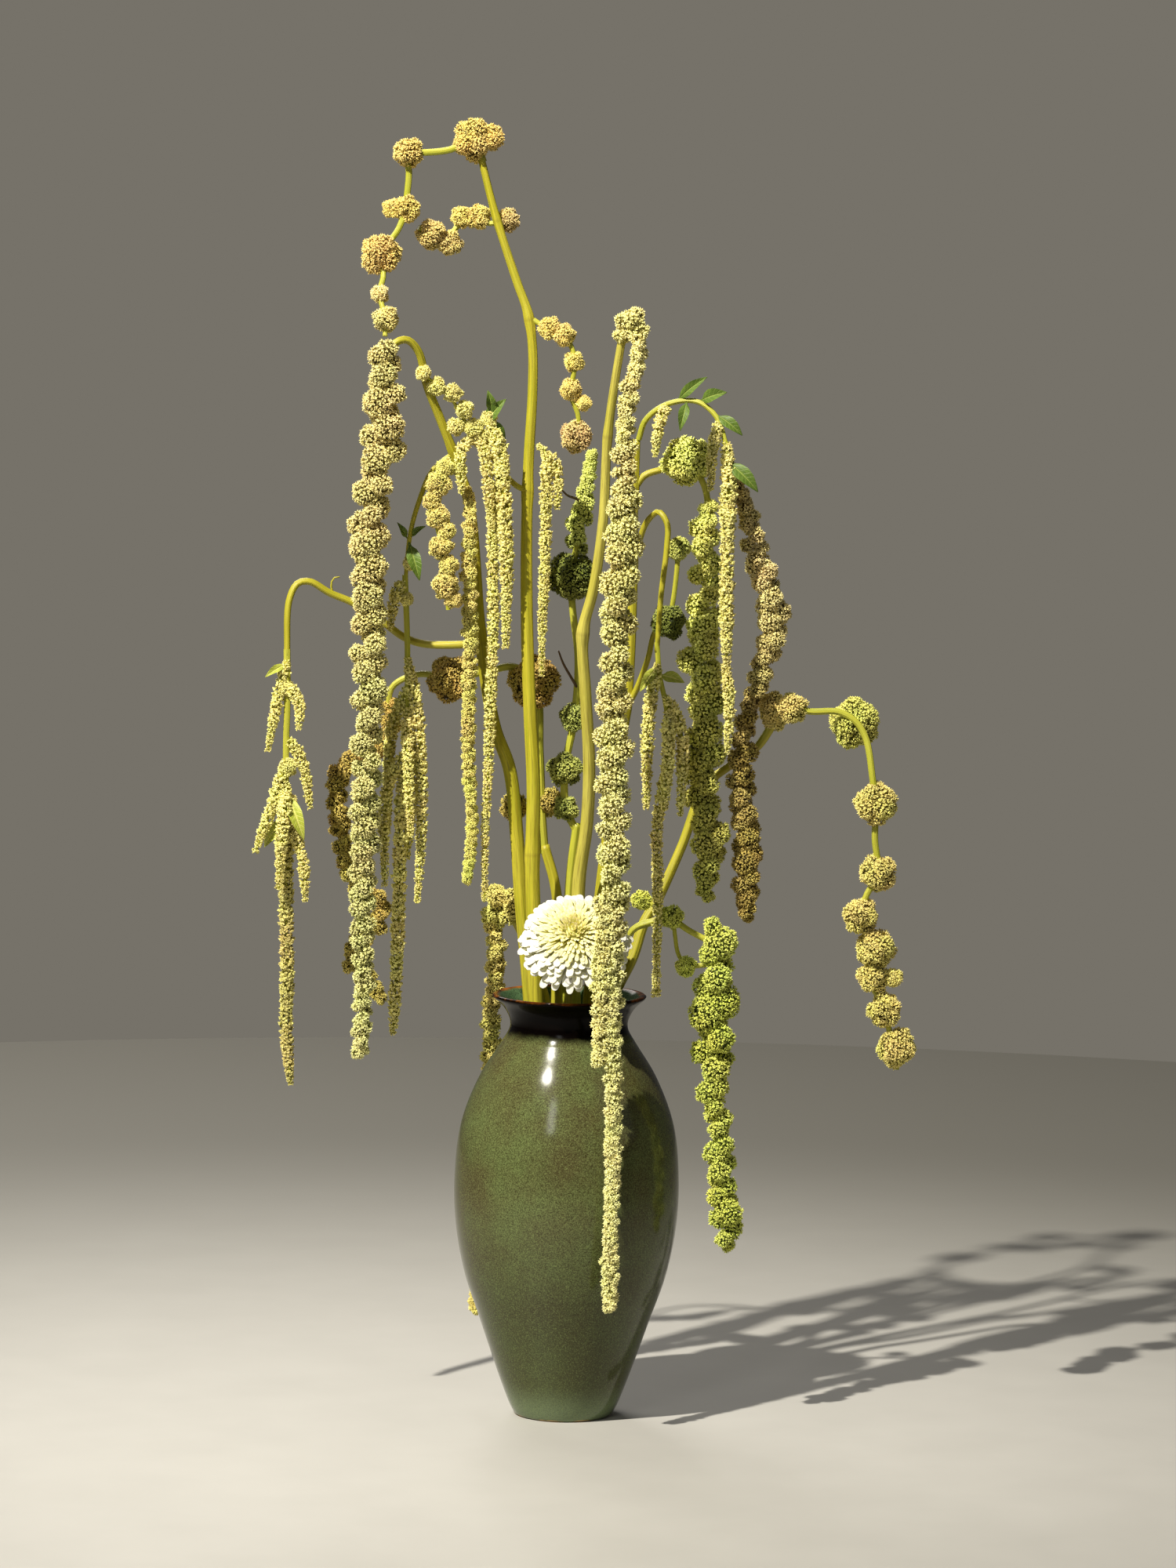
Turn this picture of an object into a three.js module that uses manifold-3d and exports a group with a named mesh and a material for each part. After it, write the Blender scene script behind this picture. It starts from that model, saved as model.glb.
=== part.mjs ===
// An ikebana arrangement: hanging amaranth and one double mini gerbera in a glazed stoneware vase.
// Millimetres, +Z up, origin at the middle of the vase's flat foot, the front of the arrangement towards -Y.
import * as THREE from "three";
import Module from "manifold-3d";

const wasm = await Module();
wasm.setup();

// ---- driving dimensions ----
const GAP = 0.3; // kept between pieces that touch
const VASE_SIDES = 24;
const VASE_WALL = 4.5;
const VASE_FLOOR = 7;
const VASE_OUTLINE = [
  // radius and height of the outside, from the foot to the lip
  [31, 0],
  [39.6, 22],
  [53.3, 61],
  [62.5, 88],
  [68.2, 118],
  [69.5, 147],
  [65.8, 181],
  [54.4, 211],
  [42.7, 230],
  [36.2, 241],
  [37.2, 248],
  [47.4, 260.5],
];
const RIM_HEIGHT = 262;
const RIM_INNER_RADIUS = 43.5;
const NECK_HEIGHT = 244;
const WATER_LEVEL = 196;
const FOOT_SPREAD = 0.75; // how far out a stem's foot stands, as a share of its place in the neck

const STEM_SIDES = 6;
const TWIG_SIDES = 5;
const SPIKE_SIDES = 6; // slim hanging flower spikes
const CATKIN_SIDES = 4; // the thinnest spikes, on the leafy sprays
const TASSEL_SIDES = 8; // thick tassels and balls
const RELIEF = 0.2; // how far flower clumps stand above and below the mean radius
const LONGEST_STEP = 80; // between two rings of a bare stem
const SHARPEST_TURN = 0.45; // radians between two rings of a bare stem

const BLOOM = {
  centre: [3, -42, 301],
  facing: [0, -0.75, 0.66],
  radius: 37,
  hubRadius: 10,
};

// ---- helpers ----
function random(seed) {
  let state = seed >>> 0;
  return () => {
    state = (state + 0x6d2b79f5) >>> 0;
    let t = Math.imul(state ^ (state >>> 15), 1 | state);
    t = (t + Math.imul(t ^ (t >>> 7), 61 | t)) ^ t;
    return ((t ^ (t >>> 14)) >>> 0) / 4294967296;
  };
}

function vec([x, y, z]) {
  return new THREE.Vector3(x, y, z);
}

function solidOf(points, faces) {
  const vertProperties = new Float32Array(points.flatMap((p) => [p.x, p.y, p.z]));
  const triVerts = new Uint32Array(faces.flat());
  return new wasm.Manifold(new wasm.Mesh({ numProp: 3, vertProperties, triVerts }));
}

// Joins solids that touch into one body, and drops any loose scrap.
function fuse(solids) {
  return oneBody(solids.reduce((all, next) => all.add(next)));
}

function oneBody(solid) {
  const bodies = solid.decompose();
  bodies.sort((a, b) => b.volume() - a.volume());
  return bodies[0];
}

// A smooth line through the points, with a frame that turns as little as it can.
function lineThrough(points) {
  const curve = new THREE.CatmullRomCurve3(points.map(vec), false, "centripetal");
  curve.arcLengthDivisions = 40 * points.length;
  return { curve, length: curve.getLength() };
}

// Rings round a line: each ring has a place along it in mm, a radius, and a relief that lifts
// every second point of it. A ring may stand beyond the line's end. Both ends are closed.
function ringed(line, rings, sides) {
  const points = [];
  let side = null;
  let along = null;
  const caps = [];
  rings.forEach(({ at, radius, relief = 0, beyond = 0 }, row) => {
    const u = Math.min(1, Math.max(0, at / line.length));
    const centre = line.curve.getPointAt(u);
    const heading = line.curve.getTangentAt(u);
    if (side === null) {
      const level = Math.abs(heading.y) < 0.9 ? new THREE.Vector3(0, 1, 0) : new THREE.Vector3(1, 0, 0);
      side = new THREE.Vector3().crossVectors(level, heading).normalize();
    } else {
      side.applyQuaternion(new THREE.Quaternion().setFromUnitVectors(along, heading));
      side.addScaledVector(heading, -side.dot(heading)).normalize();
    }
    along = heading;
    centre.addScaledVector(heading, beyond);
    if (row === 0 || row === rings.length - 1) caps.push(centre);
    const other = new THREE.Vector3().crossVectors(heading, side);
    for (let k = 0; k < sides; k++) {
      const angle = (2 * Math.PI * k) / sides;
      const reach = radius * (1 + relief * ((row + k) % 2 ? 1 : -1));
      points.push(
        centre
          .clone()
          .addScaledVector(side, reach * Math.cos(angle))
          .addScaledVector(other, reach * Math.sin(angle)),
      );
    }
  });
  const faces = [];
  const last = (rings.length - 1) * sides;
  for (let row = 0; row + 1 < rings.length; row++) {
    for (let k = 0; k < sides; k++) {
      const a = row * sides + k;
      const b = row * sides + ((k + 1) % sides);
      const c = a + sides;
      const d = b + sides;
      // the seam runs through the lower points, so that each lifted point is a small peak
      if ((row + k) % 2) faces.push([a, b, c], [b, d, c]);
      else faces.push([a, b, d], [a, d, c]);
    }
  }
  const start = points.push(caps[0]) - 1;
  const end = points.push(caps[1]) - 1;
  for (let k = 0; k < sides; k++) {
    faces.push([start, (k + 1) % sides, k], [end, last + k, last + ((k + 1) % sides)]);
  }
  return solidOf(points, faces);
}

// Places along a line where a bare stem needs a ring: close in bends, far apart in straights.
function stemPlaces(line, from = 0, to = line.length) {
  const places = [from];
  const stride = 3;
  let last = from;
  let heading = line.curve.getTangentAt(from / line.length);
  for (let at = from + stride; at < to - stride; at += stride) {
    const now = line.curve.getTangentAt(at / line.length);
    if (now.angleTo(heading) > SHARPEST_TURN || at - last > LONGEST_STEP) {
      places.push(at);
      last = at;
      heading = now;
    }
  }
  places.push(to);
  return places;
}

// A bare stem that tapers evenly from its first radius to its last. With extra it is grown all round.
function stem(points, radius, tip, sides = STEM_SIDES, extra = 0) {
  const line = lineThrough(points);
  const rings = stemPlaces(line).map((at) => ({
    at,
    radius: radius + (tip - radius) * (at / line.length) + extra,
  }));
  if (extra > 0) {
    rings.unshift({ ...rings[0], beyond: -extra });
    rings.push({ ...rings[rings.length - 1], beyond: extra });
  }
  return ringed(line, rings, sides);
}

// The room a stem needs in whatever it stands in or carries.
function roomFor([points, radius, tip, sides]) {
  return stem(points, radius, tip, sides, GAP * 1.2);
}

// A value read from [share of length, value] pairs, straight between them.
function between(pairs, t) {
  const after = pairs.findIndex(([share]) => share >= t);
  if (after <= 0) return pairs[after === 0 ? 0 : pairs.length - 1][1];
  const [t0, v0] = pairs[after - 1];
  const [t1, v1] = pairs[after];
  return v0 + ((v1 - v0) * (t - t0)) / (t1 - t0);
}

// A hanging flower spike: rings at an even pitch, every second point a raised clump of florets.
function spike(points, widths, { seed, pitch = 10.5, sides = SPIKE_SIDES, vary = 0.14 }) {
  const line = lineThrough(points);
  const draw = random(seed);
  const count = Math.max(3, Math.round(line.length / pitch));
  const rings = [];
  for (let row = 0; row <= count; row++) {
    const t = row / count;
    const taper = row === 0 || row === count ? 0.45 : 1;
    const radius = between(widths, t) * taper * (1 + vary * (2 * draw() - 1));
    rings.push({ at: t * line.length, radius, relief: taper === 1 ? RELIEF : 0 });
  }
  return ringed(line, rings, sides);
}

// A thin stem that swells into balls of florets. Each ball is given by its centre and radius.
function beads(points, balls, { seed, stemRadius = 2, tipRadius = stemRadius, sides = TASSEL_SIDES }) {
  const line = lineThrough(points);
  const draw = random(seed);
  const spots = balls.map(([centre, radius]) => {
    const target = vec(centre);
    let best = 0;
    let least = Infinity;
    for (let at = 0; at <= line.length; at += 1) {
      const gap = line.curve.getPointAt(at / line.length).distanceTo(target);
      if (gap < least) {
        least = gap;
        best = at;
      }
    }
    return { at: best, radius };
  });
  const bare = (at) => stemRadius + (tipRadius - stemRadius) * (at / line.length);
  const swell = (at) =>
    Math.max(
      0,
      ...spots.map((s) => {
        const off = (at - s.at) / s.radius;
        return Math.abs(off) < 1 ? s.radius * Math.sqrt(1 - off * off) : 0;
      }),
    );
  const places = new Set(stemPlaces(line).filter((at) => swell(at) === 0));
  places.add(0);
  places.add(line.length);
  const shares = [-0.94, -0.5, 0, 0.5, 0.94];
  for (const s of spots) {
    for (const share of shares) {
      const at = s.at + share * s.radius;
      const hidden = spots.some(
        (o) => o !== s && Math.abs(at - o.at) < o.radius * 0.8 && Math.abs(at - s.at) > 0.6 * s.radius,
      );
      if (at > 0.5 && at < line.length - 0.5 && !hidden) places.add(at);
    }
  }
  const sorted = [...places].sort((a, b) => a - b);
  const rings = sorted
    .filter((at, i) => i === 0 || i === sorted.length - 1 || at - sorted[i - 1] > 0.9)
    .map((at) => {
      const ball = swell(at);
      const bulging = ball > bare(at) * 1.6;
      return {
        at,
        radius: Math.max(bare(at), ball) * (bulging ? 1 + 0.08 * (2 * draw() - 1) : 1),
        relief: bulging ? RELIEF * 0.8 : 0,
      };
    });
  return ringed(line, rings, sides);
}

// A blade with a lens-shaped section: widths are half-widths along it, and its edges wave.
function blade({ from, to, widths, thickness = 0.9, arch = 0, wave = 0, face = [0, -1, 0.4], steps = 3 }) {
  const start = vec(from);
  const along = vec(to).sub(start);
  const length = along.length();
  along.normalize();
  const up = vec(face);
  up.addScaledVector(along, -up.dot(along)).normalize();
  const across = new THREE.Vector3().crossVectors(up, along);
  const points = [];
  for (let i = 0; i <= steps; i++) {
    const t = i / steps;
    const half = between(widths, t);
    const centre = start
      .clone()
      .addScaledVector(along, t * length)
      .addScaledVector(up, arch * Math.sin(Math.PI * t));
    const lift = wave * (i % 2 ? 1 : -1);
    points.push(
      centre.clone().addScaledVector(across, half).addScaledVector(up, lift),
      centre.clone().addScaledVector(up, thickness / 2),
      centre.clone().addScaledVector(across, -half).addScaledVector(up, lift),
      centre.clone().addScaledVector(up, -thickness / 2),
    );
  }
  const faces = [];
  for (let i = 0; i < steps; i++) {
    for (let k = 0; k < 4; k++) {
      const a = i * 4 + k;
      const b = i * 4 + ((k + 1) % 4);
      // the cut across each quarter runs the same way on both faces of the blade
      if (k === 0 || k === 3) faces.push([a, b, b + 4], [a, b + 4, a + 4]);
      else faces.push([a, b, a + 4], [b, b + 4, a + 4]);
    }
  }
  const end = steps * 4;
  faces.push([0, 2, 1], [0, 3, 2], [end, end + 1, end + 2], [end, end + 2, end + 3]);
  const made = solidOf(points, faces);
  return made.volume() < 0 ? solidOf(points, faces.map(([a, b, c]) => [a, c, b])) : made;
}

function leaf(from, to, half, options = {}) {
  const widths = [
    [0, 0.7],
    [0.2, half * 0.8],
    [0.45, half],
    [0.8, half * 0.5],
    [1, 0.4],
  ];
  return blade({ from, to, widths, arch: 1.5, wave: 0.5, ...options });
}

// ---- the vase and its water ----
function lathe(profile, sides) {
  const points = [];
  for (const [radius, height] of profile) {
    for (let k = 0; k < sides; k++) {
      const angle = (2 * Math.PI * k) / sides;
      points.push(new THREE.Vector3(radius * Math.cos(angle), radius * Math.sin(angle), height));
    }
  }
  const bottom = points.push(new THREE.Vector3(0, 0, profile[0][1])) - 1;
  const top = points.push(new THREE.Vector3(0, 0, profile[profile.length - 1][1])) - 1;
  const last = (profile.length - 1) * sides;
  const faces = [];
  for (let k = 0; k < sides; k++) {
    const next = (k + 1) % sides;
    for (let row = 0; row + 1 < profile.length; row++) {
      const a = row * sides;
      faces.push([a + k, a + next, a + sides + next], [a + k, a + sides + next, a + sides + k]);
    }
    faces.push([bottom, next, k], [top, last + k, last + next]);
  }
  return solidOf(points, faces);
}

// The inside follows the outside a wall's thickness in, with fewer rings.
const INSIDE_HEIGHTS = [241, 211, 181, 118, 61, VASE_FLOOR];

function outsideRadius(height) {
  return between(VASE_OUTLINE.map(([radius, z]) => [z, radius]), height);
}

function insideRadius(height) {
  const rings = INSIDE_HEIGHTS.map((z) => [z, outsideRadius(z) - VASE_WALL]).reverse();
  return between(rings, height);
}

function vaseSolid() {

  const profile = [
    ...VASE_OUTLINE,
    [46.2, RIM_HEIGHT],
    [RIM_INNER_RADIUS, RIM_HEIGHT - 0.8],
    ...INSIDE_HEIGHTS.map((z) => [insideRadius(z), z]),
  ];
  return lathe(profile, VASE_SIDES);
}

function waterSolid(rooms) {
  const heights = [VASE_FLOOR + GAP, 61, 118, 181, WATER_LEVEL];
  const profile = heights.map((z) => [insideRadius(z) - 1, z]);
  return oneBody(rooms.reduce((water, room) => water.subtract(room), lathe(profile, 14)));
}

// ---- stems, from the vase's floor through its neck ----
function planted(neck, rest) {
  const foot = [neck[0] * FOOT_SPREAD, neck[1] * FOOT_SPREAD, VASE_FLOOR + GAP];
  return [foot, [...neck, NECK_HEIGHT], ...rest];
}

const STEMS = {
  // name: [points, first radius, last radius, sides]
  stem_tall: [
    planted(
      [-20, -13],
      [[-24, -14, 345], [-24, -14, 393], [-27, -13, 441], [-30, -12, 513], [-30, -11, 584], [-28, -10, 632],
       [-28, -10, 675], [-41, -9, 698], [-52, -8, 736], [-62, -8, 776]],
    ),
    5.6, 2.1, STEM_SIDES,
  ],
  stem_arching: [
    planted(
      [-23, 3],
      [[-30, 2, 314], [-34, 1, 360], [-39, 0, 401], [-48, 0, 425], [-54, -1, 454], [-59, -3, 495], [-65, -8, 560],
       [-74, -14, 590], [-84, -21, 616], [-92, -28, 636], [-97, -35, 656], [-104, -39, 663], [-111, -42, 661],
       [-115, -42, 653]],
    ),
    6, 2.6, STEM_SIDES,
  ],
  stem_center: [
    planted(
      [2, -10],
      [[4, -7, 300], [5, -7, 335], [9, -13, 369], [10, -20, 405], [7, -29, 450], [5, -35, 488], [11, -40, 515],
       [16, -47, 555], [18, -55, 606], [22, -63, 641], [26, -69, 668]],
    ),
    4.8, 2.8, STEM_SIDES,
  ],
  stem_ball: [planted([-2, 4], [[-1, 8, 328], [3, 10, 367]]), 3, 2.6, TWIG_SIDES],
  stem_back: [planted([-8, 14], [[-9, 15, 322], [-17, 18, 352]]), 3.6, 3, TWIG_SIDES],
  stem_right: [
    planted([12, 14], [[19, 14, 328], [26, 13, 391], [33, 11, 450], [35, 9, 508], [35, 7, 556], [36, 4, 604]]),
    4.6, 2.2, STEM_SIDES,
  ],
  stem_khaki: [
    planted(
      [22, 4],
      [[39, 12, 285], [45, 16, 304], [54, 19, 320], [68, 24, 352], [82, 27, 389], [99, 25, 404], [114, 21, 415],
       [124, 18, 430]],
    ),
    4.2, 2.6, STEM_SIDES,
  ],
  stem_lime: [
    planted([22, -10], [[37, -18, 303], [47, -20, 309], [62, -22, 311], [73, -24, 305], [87, -25, 298]]),
    2.8, 1.8, TWIG_SIDES,
  ],
  stem_trailing: [
    planted([-12, 23], [[-27, 27, 288], [-36, 25, 306]]),
    2.4, 2.2, TWIG_SIDES,
  ],
  stem_gerbera: [planted([5, -26], [[4.5, -27, 262], [3.5, -29, 280], [3, -33.5, 292]]), 2.6, 2.5, TWIG_SIDES],
};

// Side branches that grow out of a main stem and are one piece with it.
const BRANCHES = {
  stem_arching: [
    [[[-57, -2, 478], [-67, -4, 477], [-93, -3, 477], [-105, -3, 481], [-116, -7, 489], [-136, -12, 502],
      [-150, -16, 508], [-162, -20, 515], [-169, -22, 514], [-174, -24, 504], [-175, -25, 470]], 2.4, 1.9, TWIG_SIDES],
    [[[-76, -15, 594], [-88, -18, 584], [-96, -18, 565], [-101, -18, 546], [-104, -17, 514]], 1.6, 1.2, TWIG_SIDES],
    [[[-68, -9, 570], [-76, -21, 584], [-83, -27, 583]], 1.3, 1.1, TWIG_SIDES],
  ],
  stem_tall: [
    [[[-30, -11, 572], [-37, -15, 575], [-46, -18, 584], [-55, -20, 596], [-63, -22, 603]], 1.8, 1.1, TWIG_SIDES],
  ],
  stem_right: [
    [[[33, 11, 440], [38, 8, 450], [45, 3, 470], [49, -2, 487], [56, -7, 494]], 1.9, 1.4, TWIG_SIDES],
    [[[35, 7, 530], [38, -8, 541], [43, -18, 555], [50, -26, 561], [55, -29, 554], [55, -30, 540], [52, -30, 510],
      [50, -30, 476]], 1.9, 1.5, TWIG_SIDES],
    [[[35, 6, 574], [41, 6, 582], [52, 6, 586]], 2.2, 2, TWIG_SIDES],
  ],
};

const rooms = {};
const stemSolids = {};
for (const [name, spec] of Object.entries(STEMS)) {
  const parts = [stem(...spec), ...(BRANCHES[name] || []).map((b) => stem(...b))];
  const space = [roomFor(spec), ...(BRANCHES[name] || []).map(roomFor)];
  stemSolids[name] = fuse(parts);
  rooms[name] = fuse(space);
}

// ---- the amaranth's flowers ----
// Each of these makes one body; "on" names the stems it is seated on.
const flowers = [];
function flower(name, colour, solid, on) {
  let seated = solid;
  for (const stemName of on) seated = seated.subtract(rooms[stemName]);
  flowers.push([name, colour, oneBody(seated)]);
}

const THICK = { sides: TASSEL_SIDES, pitch: 13 };

flower(
  "beads_top",
  "buff",
  fuse([
    beads(
      [[-60, -8, 771], [-66, -8, 784], [-80, -8, 778], [-96, -8, 776], [-106, -8, 776], [-105, -8, 764], [-106, -9, 750],
       [-107, -10, 741], [-111, -15, 729], [-121, -22, 714], [-119, -28, 701], [-121, -34, 691], [-117, -40, 675],
       [-117, -43, 665]],
      [[[-66, -8, 784], 14], [[-106, -8, 776], 10], [[-106, -9, 742], 9], [[-121, -22, 714], 13.5],
       [[-121, -34, 690], 5.5], [[-117, -40, 675], 8.5]],
      { seed: 11, stemRadius: 2.1, tipRadius: 1.5, sides: SPIKE_SIDES },
    ),
    beads([[-117, -10, 742], [-106, -8, 743]], [[[-115, -10, 742], 6]], { seed: 12, sides: SPIKE_SIDES }),
    beads([[-72, -9, 780], [-52, -8, 787]], [[[-56, -8, 786], 9]], { seed: 13 }),
  ]),
  ["stem_tall"],
);

flower(
  "beads_side",
  "yellow",
  beads(
    [[-99, -2, 731], [-91, 1, 727], [-81, 3, 726], [-73, 4, 735], [-65, 4, 737], [-56, 2, 734], [-45, -1, 736],
     [-38, -2, 736]],
    [[[-91, 1, 727], 10.5], [[-80, 3, 722], 8.5], [[-73, 4, 738], 7.5], [[-63, 4, 738], 8.5], [[-45, -1, 736], 8]],
    { seed: 14, sides: SPIKE_SIDES },
  ),
  ["stem_tall"],
);

flower(
  "cluster_right",
  "yellow",
  fuse([
    beads(
      [[-28, -11, 676], [-20, -13, 671], [-9, -16, 666], [-4, -17, 658], [-3, -18, 645], [-5, -18, 632], [0, -18, 618],
       [-1, -18, 604], [-1, -18, 596]],
      [[[-18, -13, 671], 7.5], [[-9, -16, 667], 7.5], [[-3, -17, 651], 6.5], [[-5, -18, 634], 7],
       [[-1, -18, 606], 11]],
      { seed: 15, stemRadius: 1.6, sides: SPIKE_SIDES },
    ),
    beads([[-4, -18, 628], [5, -18, 626]], [[[3, -18, 626], 4.5]], { seed: 16, sides: SPIKE_SIDES, stemRadius: 1.2 }),
  ]),
  ["stem_tall"],
);

flower(
  "tassel_left",
  "buff",
  spike(
    [[-117, -42, 660], [-116, -42, 638], [-118, -42, 612], [-119, -42, 591], [-124, -42, 565], [-126, -42, 537],
     [-124, -42, 515], [-125, -42, 472], [-125, -42, 422], [-126, -42, 370], [-126, -42, 288], [-126, -42, 250],
     [-127, -42, 228]],
    [[0, 9], [0.06, 12.5], [0.16, 15.5], [0.24, 13], [0.5, 11.5], [0.7, 10], [0.85, 8], [0.96, 6.5], [1, 4.5]],
    { seed: 21, ...THICK },
  ),
  ["stem_arching"],
);

flower(
  "tassel_center",
  "straw",
  fuse([
    spike(
      [[26, -68, 664], [28, -73, 680], [33, -76, 678], [36, -77, 660], [34, -77, 646], [30, -77, 634], [28, -77, 597],
       [29, -77, 550], [28, -77, 524], [26, -77, 494], [25, -77, 446], [24, -77, 399], [26, -77, 352], [26, -76, 295],
       [27, -75, 233], [28, -75, 161], [27, -75, 113], [28, -75, 78]],
      [[0, 7], [0.03, 9], [0.06, 7], [0.1, 6.5], [0.13, 9.5], [0.25, 11.5], [0.4, 11], [0.55, 10], [0.62, 9.5],
       [0.72, 7], [0.84, 5.4], [0.92, 4.2], [0.97, 5.2], [1, 4]],
      { seed: 22, ...THICK },
    ),
    spike([[20, -77, 330], [19, -77, 275], [19, -76, 232]], [[0, 5], [1, 4]], { seed: 23 }),
  ]),
  ["stem_center"],
);

flower(
  "tassel_lime",
  "lime",
  fuse([
    spike(
      [[87, -25, 312], [90, -25, 296], [90, -25, 278], [88, -25, 261], [89, -25, 236], [91, -25, 225], [88, -25, 208],
       [92, -25, 188], [95, -25, 169], [94, -25, 154], [97, -25, 136], [98, -25, 122], [101, -25, 109]],
      [[0, 9], [0.07, 14], [0.3, 16.5], [0.38, 15], [0.45, 10.5], [0.6, 9.5], [0.72, 11.5], [0.85, 10], [0.93, 13],
       [1, 6]],
      { seed: 24, ...THICK },
    ),
    beads([[70, -25, 283], [88, -25, 285]], [[[71, -25, 283], 6.5]], { seed: 25, sides: SPIKE_SIDES }),
  ]),
  ["stem_lime"],
);

flower(
  "cluster_low",
  "lime",
  beads(
    [[65, -22, 291], [64, -23, 302], [62, -23, 313], [54, -21, 318], [42, -18, 324]],
    [[[62, -23, 313], 8], [[43, -18, 323], 6.5]],
    { seed: 26, stemRadius: 1.3, sides: SPIKE_SIDES },
  ),
  ["stem_lime"],
);

flower(
  "tassel_green",
  "lime",
  fuse([
    beads(
      [[50, 6, 586], [67, 5, 591], [77, 5, 578], [80, 4, 566], [79, 3, 550]],
      [[[67, 5, 591], 17]],
      { seed: 27, stemRadius: 2 },
    ),
    spike(
      [[80, 4, 566], [79, 3, 540], [81, 2, 504], [78, 2, 470], [82, -2, 439], [79, -5, 400], [84, -6, 364],
       [82, -6, 322]],
      [[0, 5], [0.08, 11], [0.2, 13], [0.4, 14.5], [0.52, 12], [0.6, 14], [0.75, 13.5], [0.9, 11.5], [1, 6]],
      { seed: 28, ...THICK, vary: 0.2 },
    ),
  ]),
  ["stem_right"],
);

flower(
  "tassel_brown",
  "khaki",
  spike(
    [[96, -8, 586], [103, -2, 562], [111, 0, 534], [119, 2, 512], [123, 3, 490], [116, 3, 466], [109, 4, 445],
     [105, 5, 420], [104, 6, 393], [107, 6, 364], [109, 6, 340], [108, 6, 309]],
    [[0, 2], [0.08, 5], [0.2, 9], [0.35, 8.5], [0.45, 7], [0.52, 6], [0.65, 8.5], [0.8, 9.5], [0.92, 9], [1, 4]],
    { seed: 29, pitch: 9.5 },
  ),
  [],
);

// Balls that hang low on the right on a thin stem.
flower(
  "beads_khaki",
  "khaki",
  fuse([
    beads(
      [[120, 17, 441], [134, 14, 440], [146, 13, 438], [163, 14, 438], [173, 13, 433], [180, 12, 423], [185, 8, 396],
       [187, 8, 382], [187, 8, 360], [189, 8, 339], [182, 8, 324], [179, 8, 311], [189, 8, 292], [185, 8, 273],
       [195, 8, 256], [199, 8, 238], [203, 8, 228], [203, 8, 217]],
      [[[122, 17, 441], 10], [[134, 14, 440], 10.5], [[187, 8, 382], 14.5], [[189, 8, 339], 12.5],
       [[179, 8, 312], 12.5], [[189, 8, 292], 13.5], [[187, 8, 274], 11], [[195, 8, 254], 12],
       [[203, 8, 230], 13.5]],
      { seed: 31, stemRadius: 2.1, tipRadius: 1.8, sides: SPIKE_SIDES },
    ),
    beads([[186, 8, 274], [201, 8, 274]], [[[200, 8, 274], 6]], { seed: 32, sides: SPIKE_SIDES }),
    beads([[173, 14, 433], [174, 27, 430]], [[[174, 28, 430], 17]], { seed: 33 }),
  ]),
  ["stem_khaki"],
);

flower(
  "tassel_back",
  "rust",
  fuse([
    beads(
      [[-17, 18, 347], [-19, 19, 370], [-21, 21, 409], [-25, 22, 453], [-38, 21, 462], [-55, 18, 459], [-76, 16, 455],
       [-96, 16, 457], [-112, 18, 449], [-115, 19, 436]],
      [[[-25, 22, 453], 18], [[-76, 16, 455], 16]],
      { seed: 41, stemRadius: 2.8, tipRadius: 1.8, sides: SPIKE_SIDES },
    ),
    beads([[-41, 19, 375], [-12, 20, 380]], [[[-36, 19, 375], 9.5], [[-13, 20, 379], 9.5]], { seed: 42, sides: SPIKE_SIDES }),
    spike(
      [[-114, 19, 440], [-115, 19, 418], [-127, 20, 407], [-141, 20, 400], [-146, 20, 388], [-144, 20, 365],
       [-140, 20, 340], [-132, 20, 325], [-120, 20, 318], [-118, 20, 304], [-130, 20, 291], [-136, 20, 278],
       [-124, 20, 266], [-116, 20, 253]],
      [[0, 5], [0.1, 8], [0.3, 7.5], [0.5, 7], [0.7, 7.5], [0.9, 7], [1, 4]],
      { seed: 43 },
    ),
  ]),
  ["stem_back"],
);

flower(
  "head_ball",
  "green",
  fuse([
    beads(
      [[3, 10, 361], [-4, 10, 376], [-5, 12, 400], [0, 13, 430], [2, 16, 468], [-2, 17, 500], [-3, 18, 519],
       [1, 18, 541]],
      [[[-4, 9, 376], 8.5], [[-5, 12, 400], 12], [[1, 13, 432], 10.5], [[-3, 18, 519], 17]],
      { seed: 44, stemRadius: 2.4, tipRadius: 2, sides: SPIKE_SIDES },
    ),
    spike([[0, 18, 534], [2, 18, 552], [5, 18, 568], [9, 18, 596]], [[0, 7], [0.4, 9], [0.6, 7], [0.8, 3.5], [1, 2.5]], {
      seed: 45,
    }),
  ]),
  ["stem_ball"],
);

flower(
  "beads_trailing",
  "khaki",
  spike(
    [[-36, 24, 304], [-38, 24, 316], [-44, 29, 320], [-48, 35, 304], [-47, 38, 286], [-46, 42, 268], [-49, 47, 248],
     [-49, 52, 227], [-50, 59, 188], [-51, 64, 145], [-54, 60, 100], [-57, 54, 52]],
    [[0, 9], [0.05, 12], [0.12, 9], [0.16, 6], [0.2, 7.5], [0.3, 6], [0.9, 5.4], [1, 3]],
    { seed: 46 },
  ),
  ["stem_trailing"],
);

// ---- leafy sprays with thin catkins ----
const CATKIN = [[0, 2.4], [0.15, 3.9], [0.8, 3.7], [1, 2.2]];

function catkin(points, seed, widest = 1) {
  const widths = CATKIN.map(([t, r]) => [t, r * widest]);
  return spike(points, widths, { seed, pitch: 9.5, sides: CATKIN_SIDES });
}

function catkins(list, seed) {
  return list.map(([points, widest], i) => catkin(points, seed + i, widest));
}

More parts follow.
